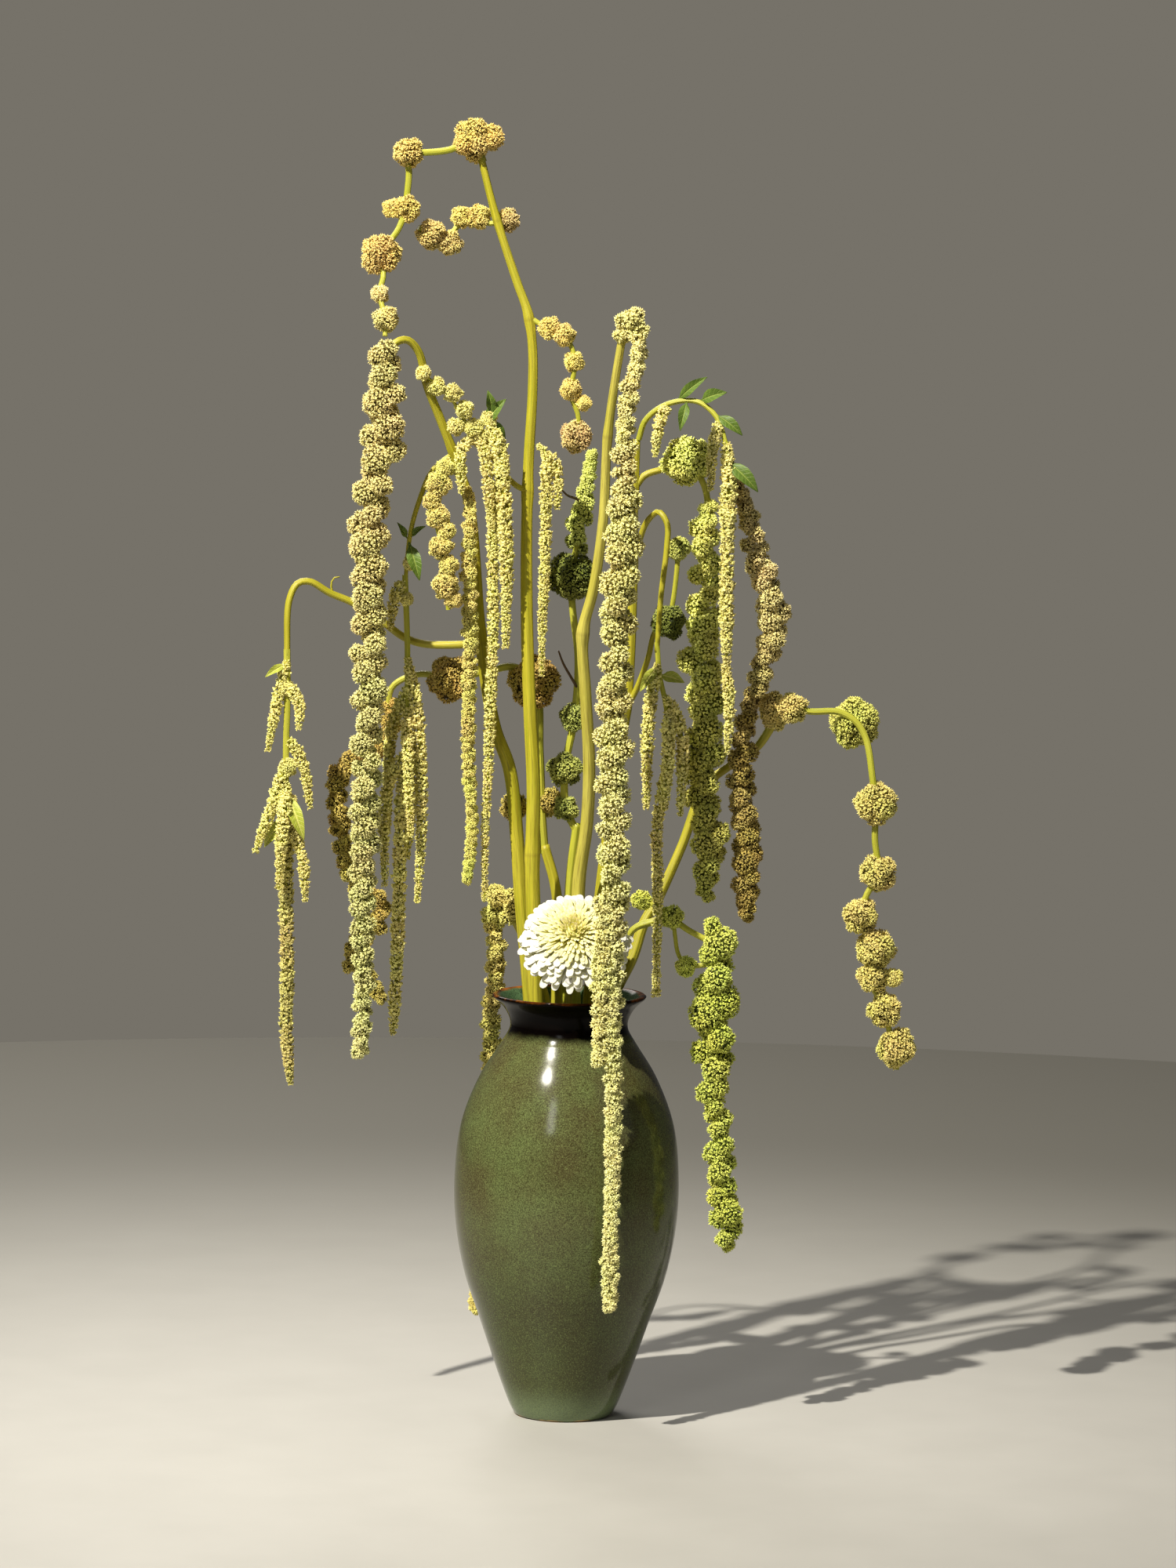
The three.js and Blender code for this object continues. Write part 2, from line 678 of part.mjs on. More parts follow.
flower(
  "spray_far_left",
  "leafy",
  fuse([
    stem([[-175, -25, 474], [-174.5, -25, 445], [-175, -25, 410], [-174, -25, 370]], 2.3, 2, TWIG_SIDES),
    spike(
      [[-174, -25, 376], [-174, -25, 329], [-173, -25, 276], [-173, -25, 237], [-170, -25, 207]],
      [[0, 3.4], [0.1, 4.6], [0.6, 4.8], [0.9, 4.2], [1, 2.4]],
      { seed: 51 },
    ),
    ...catkins(
      [
        [[[-175, -25, 468], [-181, -27, 440], [-186, -28, 412]]],
        [[[-175, -26, 453], [-167, -30, 441], [-167, -31, 426]]],
        [[[-175, -25, 404], [-183, -28, 378], [-193, -30, 350]], 1.1],
        [[[-174, -26, 392], [-176, -35, 368], [-178, -37, 329]], 1.1],
        [[[-174, -25, 420], [-165, -24, 405], [-160, -23, 377]]],
        [[[-174, -25, 366], [-165, -28, 350], [-162, -29, 320]]],
        [[[-174, -24, 385], [-177, -15, 360], [-179, -12, 325]], 1.1],
      ],
      160,
    ),
    leaf([-175, -25, 465], [-188, -30, 457], 3),
    leaf([-174, -26, 386], [-161, -33, 355], 5.5),
    leaf([-175, -25, 372], [-190, -18, 352], 4.5),
  ]),
  ["stem_arching"],
);

flower(
  "spray_left",
  "leafy",
  fuse([
    stem([[-104, -17, 520], [-102, -17, 474], [-102, -17, 430], [-104, -17, 396]], 2, 1.8, TWIG_SIDES),
    spike(
      [[-104, -17, 400], [-105, -17, 348], [-106, -17, 290], [-108, -17, 238]],
      [[0, 3.2], [0.1, 4.8], [0.7, 4.6], [0.9, 4], [1, 2.4]],
      { seed: 71 },
    ),
    ...catkins(
      [
        [[[-104, -17, 516], [-109, -19, 510], [-113, -20, 486]]],
        [[[-102, -17, 470], [-95, -19, 430], [-92, -20, 372], [-94, -20, 319]], 1.1],
        [[[-102, -17, 452], [-111, -14, 425], [-113, -11, 362]]],
        [[[-102, -18, 440], [-101, -27, 415], [-98, -30, 360]]],
        [[[-103, -16, 430], [-98, -6, 400], [-101, -4, 345]]],
        [[[-103, -17, 412], [-113, -23, 390], [-114, -25, 330]]],
      ],
      80,
    ),
    leaf([-104, -17, 514], [-90, -22, 530], 5),
    leaf([-104, -17, 516], [-118, -14, 532], 4.5),
  ]),
  ["stem_arching"],
);

flower(
  "catkins_lumpy",
  "khaki",
  beads(
    [[-80, -27, 585], [-84, -29, 575], [-85, -30, 553], [-81, -32, 538], [-78, -34, 515], [-77, -34, 500]],
    [[[-84, -29, 578], 8.5], [[-85, -30, 557], 7], [[-81, -32, 538], 7.5], [[-78, -34, 514], 9]],
    { seed: 91, stemRadius: 1.4, sides: SPIKE_SIDES },
  ),
  ["stem_arching"],
);

flower(
  "catkins_arch",
  "khaki",
  spike(
    [[-67, -12, 573], [-65, -19, 563], [-65, -22, 550], [-65, -22, 520], [-64, -22, 489], [-64, -22, 450], [-64, -22, 412],
     [-61, -22, 364], [-64, -22, 332]],
    [[0, 2.2], [0.12, 5], [0.35, 5.6], [0.52, 4.6], [0.7, 4], [0.95, 3.4], [1, 2]],
    { seed: 92 },
  ),
  ["stem_arching"],
);

flower(
  "shoot_leaves",
  "leafy",
  fuse([
    spike([[-62, -22, 602], [-64, -22, 606], [-58, -23, 613], [-52, -24, 620]], [[0, 2.6], [1, 3]], { seed: 93 }),
    ...catkins(
      [
        [[[-61, -22, 605], [-57, -26, 598], [-54, -27, 575], [-52, -27, 549]]],
        [[[-55, -24, 616], [-48, -27, 600], [-44, -26, 560], [-42, -25, 520], [-42, -24, 477]], 1.25],
        [[[-64, -23, 604], [-70, -27, 598], [-70, -28, 570]]],
      ],
      100,
    ),
    leaf([-60, -22, 610], [-44, -25, 628], 5),
    leaf([-56, -23, 615], [-42, -18, 604], 4.5),
    leaf([-55, -23, 616], [-61, -30, 634], 4.5),
    leaf([-62, -23, 606], [-76, -20, 622], 4.5),
  ]),
  ["stem_tall", "stem_arching"],
);

flower(
  "catkin_front",
  "leafy",
  catkin(
    [[-47, -17, 584], [-50, -15, 570], [-51, -15, 537], [-50, -15, 489], [-51, -16, 441], [-52, -17, 393],
     [-53, -17, 364], [-53, -17, 320]],
    94,
  ),
  ["stem_tall"],
);

flower(
  "catkins_tall",
  "leafy",
  fuse([
    catkin([[-25, -11, 600], [-20, -14, 596], [-19, -14, 566], [-19, -14, 527], [-20, -14, 489], [-20, -14, 460]], 95),
    catkin([[-20, -14, 595], [-13, -14, 588], [-12, -14, 562]], 97),
  ]),
  ["stem_tall"],
);

flower(
  "spray_right",
  "leafy",
  fuse([
    stem([[37, 3, 604], [41, 0, 616], [54, -4, 626], [72, -8, 628], [84, -12, 619], [91, -17, 600]], 2, 1.6, TWIG_SIDES),
    spike(
      [[90, -16, 604], [92, -19, 586], [92, -21, 558], [92, -21, 510], [93, -21, 462]],
      [[0, 2.6], [0.12, 4.2], [0.9, 3.8], [1, 2]],
      { seed: 111 },
    ),
    ...catkins(
      [
        [[[86, -13, 616], [82, -19, 600], [81, -20, 574]]],
        [[[54, -4, 626], [49, -8, 612], [47, -9, 594]]],
        [[[92, -20, 470], [95, -22, 440], [94, -22, 415]]],
      ],
      112,
    ),
    leaf([60, -5, 628], [78, -9, 643], 3.5),
    leaf([74, -8, 628], [90, -14, 634], 4.5),
    leaf([84, -12, 620], [100, -16, 608], 4),
    leaf([66, -7, 628], [62, -14, 610], 3.5),
    leaf([91, -18, 592], [110, -22, 574], 5),
  ]),
  ["stem_right"],
);

flower(
  "spray_inner",
  "leafy",
  fuse([
    stem([[50, -30, 482], [52, -30, 462], [56, -30, 444], [58, -30, 424]], 1.8, 1.8, TWIG_SIDES),
    spike(
      [[58, -30, 428], [58, -30, 410], [55, -30, 392], [52, -30, 367], [53, -30, 330], [53, -30, 266]],
      [[0, 3.4], [0.2, 4.4], [0.5, 3.8], [1, 3]],
      { seed: 121 },
    ),
    ...catkins(
      [
        [[[51, -30, 470], [46, -31, 440], [45, -31, 381]], 1.1],
        [[[55, -30, 450], [65, -30, 430], [66, -30, 376]], 1.1],
        [[[57, -31, 440], [58, -40, 420], [56, -42, 380]]],
      ],
      122,
    ),
    leaf([52, -30, 462], [67, -33, 458], 4),
    leaf([51, -30, 468], [40, -34, 452], 3.5),
  ]),
  ["stem_right"],
);

flower(
  "ball_inner",
  "green",
  beads(
    [[62, -10, 545], [62, -9, 530], [60, -8, 508], [57, -8, 490], [56, -8, 474]],
    [[[62, -9, 538], 6], [[57, -8, 493], 10]],
    { seed: 125, stemRadius: 1.5, sides: SPIKE_SIDES },
  ),
  ["stem_right"],
);

// ---- the gerbera ----
const bloomTurn = new THREE.Quaternion().setFromUnitVectors(new THREE.Vector3(0, 0, 1), vec(BLOOM.facing).normalize());

// Turns a point of the bloom's own frame, +Z out of its face, into the arrangement's.
function onBloom([x, y, z]) {
  return new THREE.Vector3(x, y, z).applyQuaternion(bloomTurn).add(vec(BLOOM.centre)).toArray();
}

function bloomLathe(profile, sides) {
  const turned = new THREE.Matrix4().compose(vec(BLOOM.centre), bloomTurn, new THREE.Vector3(1, 1, 1));
  return lathe(profile, sides).transform(turned.toArray());
}

// A ring of ray florets, from near the middle to a tip radius, its two heights and its half-width.
function rays({ count, root, tip, low, high, half, turn = 0, seed, steps = 3 }) {
  const draw = random(seed);
  const made = [];
  for (let k = 0; k < count; k++) {
    const angle = (2 * Math.PI * (k + turn)) / count;
    const reach = tip * (1 + 0.04 * (2 * draw() - 1));
    const drop = 0.8 * (2 * draw() - 1);
    const radial = (r, z) => onBloom([r * Math.cos(angle), r * Math.sin(angle), z]);
    const origin = vec(onBloom([0, 0, 0]));
    const face = vec(onBloom([0, 0, 1])).sub(origin).toArray();
    made.push(
      blade({
        from: radial(root, low),
        to: radial(reach, high + drop),
        widths: [[0, half * 0.28], [0.35, half * 0.7], [0.75, half], [1, half * 0.5]],
        thickness: 1,
        arch: 0.8,
        face,
        steps,
      }),
    );
  }
  return made;
}

const involucre = bloomLathe([[2.6, -13], [5.5, -10], [8, -5.2], [8, -4.6]], 10).subtract(rooms.stem_gerbera);
const rayFlorets = fuse([
  bloomLathe([[BLOOM.hubRadius, -4.2], [BLOOM.hubRadius + 1.5, 0], [BLOOM.hubRadius, 3]], 10),
  ...rays({ count: 15, root: 9.2, tip: BLOOM.radius, low: -2.6, high: -5, half: 4.8, seed: 201 }),
  ...rays({ count: 12, root: 9, tip: 33, low: -0.6, high: 0, half: 4.8, turn: 0.5, seed: 202 }),
  ...rays({ count: 10, root: 8.8, tip: 28, low: 1.4, high: 4.6, half: 4.2, steps: 2, seed: 203 }),
]);
const innerFlorets = fuse([
  bloomLathe([[7, 3.3], [7.6, 6], [6.4, 8.4]], 8),
  ...rays({ count: 12, root: 6.2, tip: 22.5, low: 5, high: 9, half: 2.6, seed: 204, steps: 2 }),
  ...rays({ count: 9, root: 5.8, tip: 16.5, low: 6.9, high: 12.5, half: 2.4, turn: 0.5, seed: 205, steps: 2 }),
]);

// The middle: a low dome of closed florets, every second point of its grid raised.
function discSolid() {
  const points = [];
  const faces = [];
  const sides = 12;
  const rows = [[5.6, 8.7], [6.6, 10.2], [5.2, 12], [3.2, 13.2]];
  rows.forEach(([radius, z], row) => {
    for (let k = 0; k < sides; k++) {
      const angle = (2 * Math.PI * k) / sides;
      const bump = row > 0 && (row + k) % 2 ? 1.1 : 0;
      const reach = radius + bump * 0.5;
      points.push(vec(onBloom([reach * Math.cos(angle), reach * Math.sin(angle), z + bump])));
    }
  });
  const bottom = points.push(vec(onBloom([0, 0, 8.7]))) - 1;
  const top = points.push(vec(onBloom([0, 0, 13.6]))) - 1;
  const last = (rows.length - 1) * sides;
  for (let k = 0; k < sides; k++) {
    const next = (k + 1) % sides;
    for (let row = 0; row + 1 < rows.length; row++) {
      const a = row * sides;
      faces.push([a + k, a + next, a + sides + next], [a + k, a + sides + next, a + sides + k]);
    }
    faces.push([bottom, next, k], [top, last + k, last + next]);
  }
  return solidOf(points, faces);
}

// ---- materials and the group ----
const COLOURS = {
  glaze: { color: 0x4f5a3c, roughness: 0.15, metalness: 0 },
  water: { color: 0x9fb0a0, roughness: 0.05, metalness: 0 },
  stalk: { color: 0xa9ab4a, roughness: 0.5, metalness: 0 },
  buff: { color: 0xa89a68, roughness: 0.9, metalness: 0 },
  yellow: { color: 0xb5a955, roughness: 0.9, metalness: 0 },
  straw: { color: 0xc8bc88, roughness: 0.9, metalness: 0 },
  lime: { color: 0x93a63a, roughness: 0.9, metalness: 0 },
  khaki: { color: 0x8f8850, roughness: 0.9, metalness: 0 },
  rust: { color: 0x94743a, roughness: 0.9, metalness: 0 },
  green: { color: 0x6f7f35, roughness: 0.9, metalness: 0 },
  leafy: { color: 0xa8ae5c, roughness: 0.8, metalness: 0 },
  white: { color: 0xf1f0e4, roughness: 0.6, metalness: 0 },
  cream: { color: 0xefe9b4, roughness: 0.6, metalness: 0 },
  disc: { color: 0xd8c79a, roughness: 0.8, metalness: 0 },
};

const arrangement = new THREE.Group();

function addMesh(name, colour, solid) {
  const { vertProperties, triVerts } = solid.getMesh();
  const geometry = new THREE.BufferGeometry();
  geometry.setAttribute("position", new THREE.BufferAttribute(new Float32Array(vertProperties), 3));
  geometry.setIndex(new THREE.BufferAttribute(new Uint32Array(triVerts), 1));
  geometry.computeVertexNormals();
  const mesh = new THREE.Mesh(geometry, new THREE.MeshStandardMaterial(COLOURS[colour]));
  mesh.name = name;
  arrangement.add(mesh);
}

addMesh("vase", "glaze", vaseSolid());
addMesh("water", "water", waterSolid(Object.values(rooms)));
for (const [name, solid] of Object.entries(stemSolids)) addMesh(name, "stalk", solid);
for (const [name, colour, solid] of flowers) addMesh(name, colour, solid);
addMesh("gerbera_involucre", "stalk", involucre);
addMesh("gerbera_rays", "white", rayFlorets);
addMesh("gerbera_inner", "cream", innerFlorets);
addMesh("gerbera_disc", "disc", discSolid());

export default arrangement;
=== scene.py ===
# %% [markdown]
# # An arrangement of hanging amaranth and one gerbera in a glazed vase
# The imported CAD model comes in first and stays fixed: it says where every stem, tassel and petal
# ring goes. Everything below puts a finer surface round each of those solids.

# %% Load the frame
import math

import bpy
import numpy as np
from mathutils import Matrix, Vector


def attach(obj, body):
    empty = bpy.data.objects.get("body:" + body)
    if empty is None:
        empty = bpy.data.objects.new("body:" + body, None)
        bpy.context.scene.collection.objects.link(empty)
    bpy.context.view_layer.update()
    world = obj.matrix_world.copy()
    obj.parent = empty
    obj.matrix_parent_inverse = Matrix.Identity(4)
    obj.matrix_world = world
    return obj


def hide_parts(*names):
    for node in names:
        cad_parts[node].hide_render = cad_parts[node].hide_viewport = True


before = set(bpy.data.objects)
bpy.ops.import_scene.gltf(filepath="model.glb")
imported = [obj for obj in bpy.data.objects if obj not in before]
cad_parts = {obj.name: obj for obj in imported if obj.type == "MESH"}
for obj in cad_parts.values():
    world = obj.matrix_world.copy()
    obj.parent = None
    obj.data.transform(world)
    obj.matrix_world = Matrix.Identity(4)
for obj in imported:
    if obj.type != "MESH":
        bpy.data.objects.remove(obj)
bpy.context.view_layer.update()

# %% [markdown]
# ## The camera
# A long lens, as far away as the picture says: 125 mm on a 36 mm sensor, 3.3 m in front, a little
# above the rim of the vase and tipped down. The camera also leans by just under a degree, which
# makes the stems lean to the right. A matrix holds all of that at once, so nothing has to track.

# %% Set the camera
LENS = 124.8
CAMERA_PLACE = (0.0094, -3.328, 0.695)
TIPPED_DOWN = math.radians(5.2)
LEAN = math.radians(0.9)

camera_data = bpy.data.cameras.new("camera")
camera_data.lens = LENS
camera_data.sensor_width = 36
camera_data.clip_start = 0.1
camera_data.clip_end = 50
camera = bpy.data.objects.new("camera", camera_data)
camera.matrix_world = (
    Matrix.Translation(CAMERA_PLACE)
    @ Matrix.Rotation(math.radians(90) - TIPPED_DOWN, 4, "X")
    @ Matrix.Rotation(LEAN, 4, "Z")
)
bpy.context.collection.objects.link(camera)
bpy.context.scene.camera = camera
print("camera", camera_data.lens, "mm")

# %% [markdown]
# ## Small helpers for arrays
# Lengths are written in millimetres, as they are in the CAD source, and turned into metres once,
# when a mesh is made. Colours are given as web codes, which are gamma coded, while shaders
# add up linear light, so a helper converts them.

# %% Units, colours and directions
MM = 0.001
GOLDEN = math.pi * (3 - math.sqrt(5))


def colour(code):
    """Linear red, green, blue and alpha from #rrggbb: below 0.04 a straight line, above it a power curve."""
    share = np.array([int(code[i : i + 2], 16) for i in (1, 3, 5)]) / 255
    linear = np.where(share <= 0.04045, share / 12.92, ((share + 0.055) / 1.055) ** 2.4)
    return (*(float(v) for v in linear), 1.0)


def unit(vectors):
    """Each vector divided by its own length."""
    return vectors / np.linalg.norm(vectors, axis=-1, keepdims=True)


def between(pairs, t):
    """A value read off (share, value) pairs, straight between them."""
    shares, values = np.array(pairs, float).T
    return np.interp(t, shares, values)


def turns(count):
    """Equal angles, count of them, that go once round a circle."""
    return np.linspace(0, 2 * math.pi, count, endpoint=False)


print("golden angle", round(math.degrees(GOLDEN), 1))

# %% [markdown]
# ## Lines and rings
# Every stalk, tassel and petal follows a line. A line could be a Blender curve, but as an array it
# can also say where each floret sits. It passes through given points as a centripetal
# Catmull-Rom curve, which doesn't overshoot where points are close together.

# %% A smooth line through points
SPAN_PARTS = 24


def spline(points, step=2.0):
    """Places every `step` mm on a Catmull-Rom line, and how far along each is.

    Each span is a cubic with the ends of the span and, at each end, the slope of the parabola
    through three neighbours, with knots spaced by the square root of the distance.
    """
    p = np.asarray(points, float)
    p = np.vstack([2 * p[0] - p[1], p, 2 * p[-1] - p[-2]])
    a, b, c, d = p[:-3], p[1:-2], p[2:-1], p[3:]
    ab, bc, cd = (np.sqrt(np.linalg.norm(n - m, axis=1))[:, None] for m, n in ((a, b), (b, c), (c, d)))
    leave = ((b - a) / ab - (c - a) / (ab + bc) + (c - b) / bc) * bc
    arrive = ((c - b) / bc - (d - b) / (bc + cd) + (d - c) / cd) * bc
    u = np.linspace(0, 1, SPAN_PARTS, endpoint=False)[None, :, None]
    b, c, leave, arrive = (v[:, None] for v in (b, c, leave, arrive))
    fine = (
        (2 * u**3 - 3 * u**2 + 1) * b
        + (u**3 - 2 * u**2 + u) * leave
        + (3 * u**2 - 2 * u**3) * c
        + (u**3 - u**2) * arrive
    ).reshape(-1, 3)
    fine = np.vstack([fine, p[-2]])
    along = np.concatenate([[0], np.cumsum(np.linalg.norm(np.diff(fine, axis=0), axis=1))])
    places = np.linspace(0, along[-1], max(2, round(along[-1] / step)) + 1)
    return np.stack([np.interp(places, along, fine[:, k]) for k in range(3)], axis=1), places


def frames(line):
    """At each place: the heading, and two directions square to it.

    Side is a fixed axis crossed with the heading, so that it turns no more than the line does. The
    axis is the one that the line never runs along.
    """
    heading = unit(np.gradient(line, axis=0))
    axis = np.eye(3)[np.argmin(np.abs(heading).max(axis=0))]
    side = unit(np.cross(axis, heading))
    return heading, side, np.cross(heading, side)


def off_line(line, side, other, reach, turn):
    """Places at a distance reach from a line: line + reach (cos(turn) side + sin(turn) other)."""
    return line + (reach * np.cos(turn))[..., None] * side + (reach * np.sin(turn))[..., None] * other


def rings_round(radii, heights, sides):
    """One ring round +Z for each radius and height: (radius cos(turn), radius sin(turn), height)."""
    turn = turns(sides)
    x, y = radii[:, None] * np.cos(turn), radii[:, None] * np.sin(turn)
    return np.stack(np.broadcast_arrays(x, y, heights[:, None]), axis=-1)


test_line, test_along = spline([(0, 0, 0), (0, 0, 50), (30, 0, 90)])
print("a test line of", round(float(test_along[-1]), 1), "mm in", len(test_line), "places")

# %% [markdown]
# ## From arrays to a mesh
# A part is a dictionary: points, faces, and values carried by the points, which the materials read.
# Rings of points are skinned with quads and closed by a point at each end. Several parts become
# one mesh, filled in one go with foreach_set, which is far quicker than adding faces one by one.

# %% Skin rings, and build a piece
def skin(rings, paint=0, **values):
    """A closed skin over rings of points, shaped (copies, rows, sides, 3).

    Each quad joins two neighbours of a ring to the two above them. The middle of the first and the
    last ring closes each end. Values are per point of the rings, and their mean is used at the ends.
    """
    rings = rings.reshape(-1, *rings.shape[-3:])
    copies, rows, sides = rings.shape[:3]
    per = rows * sides + 2

    def with_ends(v):
        v = np.broadcast_to(v, (copies, rows, sides) + v.shape[3:]) if v.ndim >= 3 else v
        ends = v[:, [0, -1]].mean(axis=2)
        return np.concatenate([v.reshape(copies, rows * sides, *v.shape[3:]), ends], axis=1).reshape(
            copies * per, *v.shape[3:]
        )

    ring = np.arange(rows * sides).reshape(rows, sides)
    after = np.roll(ring, -1, axis=1)
    quads = np.stack([ring[:-1], after[:-1], after[1:], ring[1:]], axis=-1).reshape(-1, 4)
    first, last = np.full(sides, per - 2), np.full(sides, per - 1)
    ends = np.concatenate(
        [np.stack([first, after[0], ring[0]], axis=-1), np.stack([last, ring[-1], after[-1]], axis=-1)]
    )
    shift = (np.arange(copies) * per)[:, None, None]
    return {
        "co": with_ends(rings),
        "faces": [(quads + shift).reshape(-1, 4), (ends + shift).reshape(-1, 3)],
        "values": {name: with_ends(np.asarray(v, float)) for name, v in values.items()},
        "paint": paint,
    }


def build(name, parts, materials, stands_for, smooth=True):
    """One object from parts. Its place is in its mesh, it rides on the root and hides the CAD nodes it stands
    for.
    """
    starts = np.cumsum([0] + [len(p["co"]) for p in parts])
    corners, sizes, paints = [], [], []
    for part, start in zip(parts, starts):
        for faces in part["faces"]:
            corners.append((faces + start).ravel())
            sizes.append(np.full(len(faces), faces.shape[1]))
            paints.append(np.full(len(faces), part["paint"]))
    corners, sizes, paints = map(np.concatenate, (corners, sizes, paints))
    points = np.concatenate([p["co"] for p in parts]) * MM
    mesh = bpy.data.meshes.new(name)
    mesh.vertices.add(starts[-1])
    mesh.vertices.foreach_set("co", points.astype(np.float32).ravel())
    mesh.loops.add(len(corners))
    mesh.loops.foreach_set("vertex_index", corners.astype(np.int32))
    mesh.polygons.add(len(sizes))
    mesh.polygons.foreach_set("loop_start", (np.cumsum(sizes) - sizes).astype(np.int32))
    for material in materials:
        mesh.materials.append(material)
    mesh.polygons.foreach_set("material_index", paints.astype(np.int32))
    for key in sorted({k for p in parts for k in p["values"]}):
        wide = max(np.ndim(p["values"].get(key, 0)) for p in parts) > 1
        shape = (3,) if wide else ()
        each = [p["values"].get(key, np.zeros((len(p["co"]), *shape))) for p in parts]
        made = mesh.attributes.new(key, "FLOAT_VECTOR" if wide else "FLOAT", "POINT")
        made.data.foreach_set("vector" if wide else "value", np.concatenate(each).astype(np.float32).ravel())
    mesh.update(calc_edges=True)
    mesh.polygons.foreach_set("use_smooth", np.full(len(sizes), smooth))
    mesh.validate()
    piece = bpy.data.objects.new(name, mesh)
    bpy.context.collection.objects.link(piece)
    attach(piece, "root")
    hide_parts(*stands_for)
    print(name, len(mesh.polygons), "faces")
    return piece


# %% [markdown]
# ## Helpers for materials
# A material is a small graph of nodes. Adding a node, setting it and wiring it up is one call here,
# so that a whole material reads like a sentence.

# %% Nodes, ramps, groups and materials
def feed(tree, socket, value):
    """Links the value if it is a socket itself, and otherwise sets it."""
    if isinstance(value, bpy.types.NodeSocket):
        tree.links.new(value, socket)
    else:
        socket.default_value = value


def node(tree, kind, inputs=None, **settings):
    """A new node: its settings first, then its inputs, each linked or set."""
    made = tree.nodes.new("ShaderNode" + kind)
    for key, value in settings.items():
        setattr(made, key, value)
    for key, value in (inputs or {}).items():
        feed(tree, made.inputs[key], value)
    return made


def mix(tree, share, first, second):
    """first blended into second by share, as colours."""
    return node(tree, "Mix", {0: share, 6: first, 7: second}, data_type="RGBA").outputs[2]


def calc(tree, how, *values):
    """One step of arithmetic, such as ADD for two values or SINE for one."""
    return node(tree, "Math", dict(enumerate(values)), operation=how).outputs[0]


def rescale(tree, value, low, high, to_low=0.0, to_high=1.0, smooth=False):
    """value taken from low..high to to_low..to_high, held at both ends."""
    limits = {"From Min": low, "From Max": high, "To Min": to_low, "To Max": to_high}
    kind = "SMOOTHSTEP" if smooth else "LINEAR"
    return node(tree, "MapRange", {"Value": value, **limits}, interpolation_type=kind).outputs["Result"]


def noise(tree, where, scale, detail=3.0, rough=0.55):
    """Cloudy noise from 0 to 1 at the given scale per metre."""
    settings = {"Vector": where, "Scale": scale, "Detail": detail, "Roughness": rough}
    return node(tree, "TexNoise", settings).outputs["Fac"]


def own_place(tree):
    """Where a point lies on its piece, in metres from the piece's origin."""
    return node(tree, "TexCoord").outputs["Object"]


def carried(tree, name, kind="Fac"):
    """What the mesh's points carry under this name: a number, or three with kind Vector."""
    return node(tree, "Attribute", attribute_name=name).outputs[kind]


def bump(tree, socket, height, strength, distance):
    """Light falls on the shader as if the surface rose by height x distance, in metres."""
    made = node(tree, "Bump", {"Height": height, "Strength": strength, "Distance": distance})
    tree.links.new(made.outputs["Normal"], socket["Normal"])


def group(name, inputs, outputs):
    """An empty node group with named sockets, and its two end nodes."""
    tree = bpy.data.node_groups.new(name, "ShaderNodeTree")
    for label, kind, value in inputs:
        socket = tree.interface.new_socket(label, in_out="INPUT", socket_type="NodeSocket" + kind)
        socket.default_value = value
    for label, kind in outputs:
        tree.interface.new_socket(label, in_out="OUTPUT", socket_type="NodeSocket" + kind)
    return tree, tree.nodes.new("NodeGroupInput").outputs, tree.nodes.new("NodeGroupOutput").inputs


def use(tree, made, inputs):
    """Places a group in a material with its own values."""
    return node(tree, "Group", inputs, node_tree=made).outputs


def material(name, **settings):
    """A material with one Principled shader, whose plain settings are given by name."""
    made = bpy.data.materials.new(name)
    made.use_nodes = True
    tree = made.node_tree
    shader = tree.nodes["Principled BSDF"]
    for key, value in settings.items():
        shader.inputs[key.replace("_", " ")].default_value = value
    return made, tree, shader.inputs


# %% [markdown]
# ## Light and floor
# The real one stood in hard sun from the upper left. Here a small warm area lamp plays the sun with
# soft edges, a tall strip draws the long highlight on the glaze, and two weak panels keep the far
# sides readable. The floor is a plain pale disc with painted shade far out, which fades it into the
# grey of the world. The world looks mid grey but lights more weakly than it looks, so that the shaded
# sides stay deep. The Standard view keeps the yellows as strong as they are in sunlight, where the
# default view would fade them to white.

# %% Lamps
MIDDLE = Vector((0, 0, 0.4))
WORLD_LIGHTS = (0.070, 0.068, 0.064, 1)
WORLD_LOOKS = (0.181, 0.168, 0.141, 1)


def lamp(name, azimuth, height, distance, power, size, tone, tall=None):
    """An area lamp on a sphere round the middle, facing it.

    Azimuth 0 is the camera's side and + is right. Its direction is (sin a cos h, -cos a cos h, sin h).
    """
    data = bpy.data.lights.new(name, "AREA")
    data.energy = power
    data.color = tone
    data.shape = "RECTANGLE"
    data.size = size
    data.size_y = tall or size
    turn, rise = math.radians(azimuth), math.radians(height)
    back = Vector((math.sin(turn) * math.cos(rise), -math.cos(turn) * math.cos(rise), math.sin(rise)))
    made = bpy.data.objects.new(name, data)
    made.location = MIDDLE + back * distance
    made.rotation_euler = back.to_track_quat("Z", "Y").to_euler()
    bpy.context.collection.objects.link(made)


lamp("sun_lamp", azimuth=-37, height=48, distance=3.0, power=197, size=0.06, tone=(1.0, 0.95, 0.85))
lamp("strip_lamp", azimuth=-19, height=26, distance=2.6, power=7, size=0.34, tone=(1.0, 0.98, 0.95), tall=0.8)
lamp("right_panel", azimuth=62, height=25, distance=2.6, power=1.6, size=1.6, tone=(0.95, 0.97, 1.0))
lamp("back_panel", azimuth=200, height=35, distance=2.8, power=34, size=1.4, tone=(1.0, 0.96, 0.9))

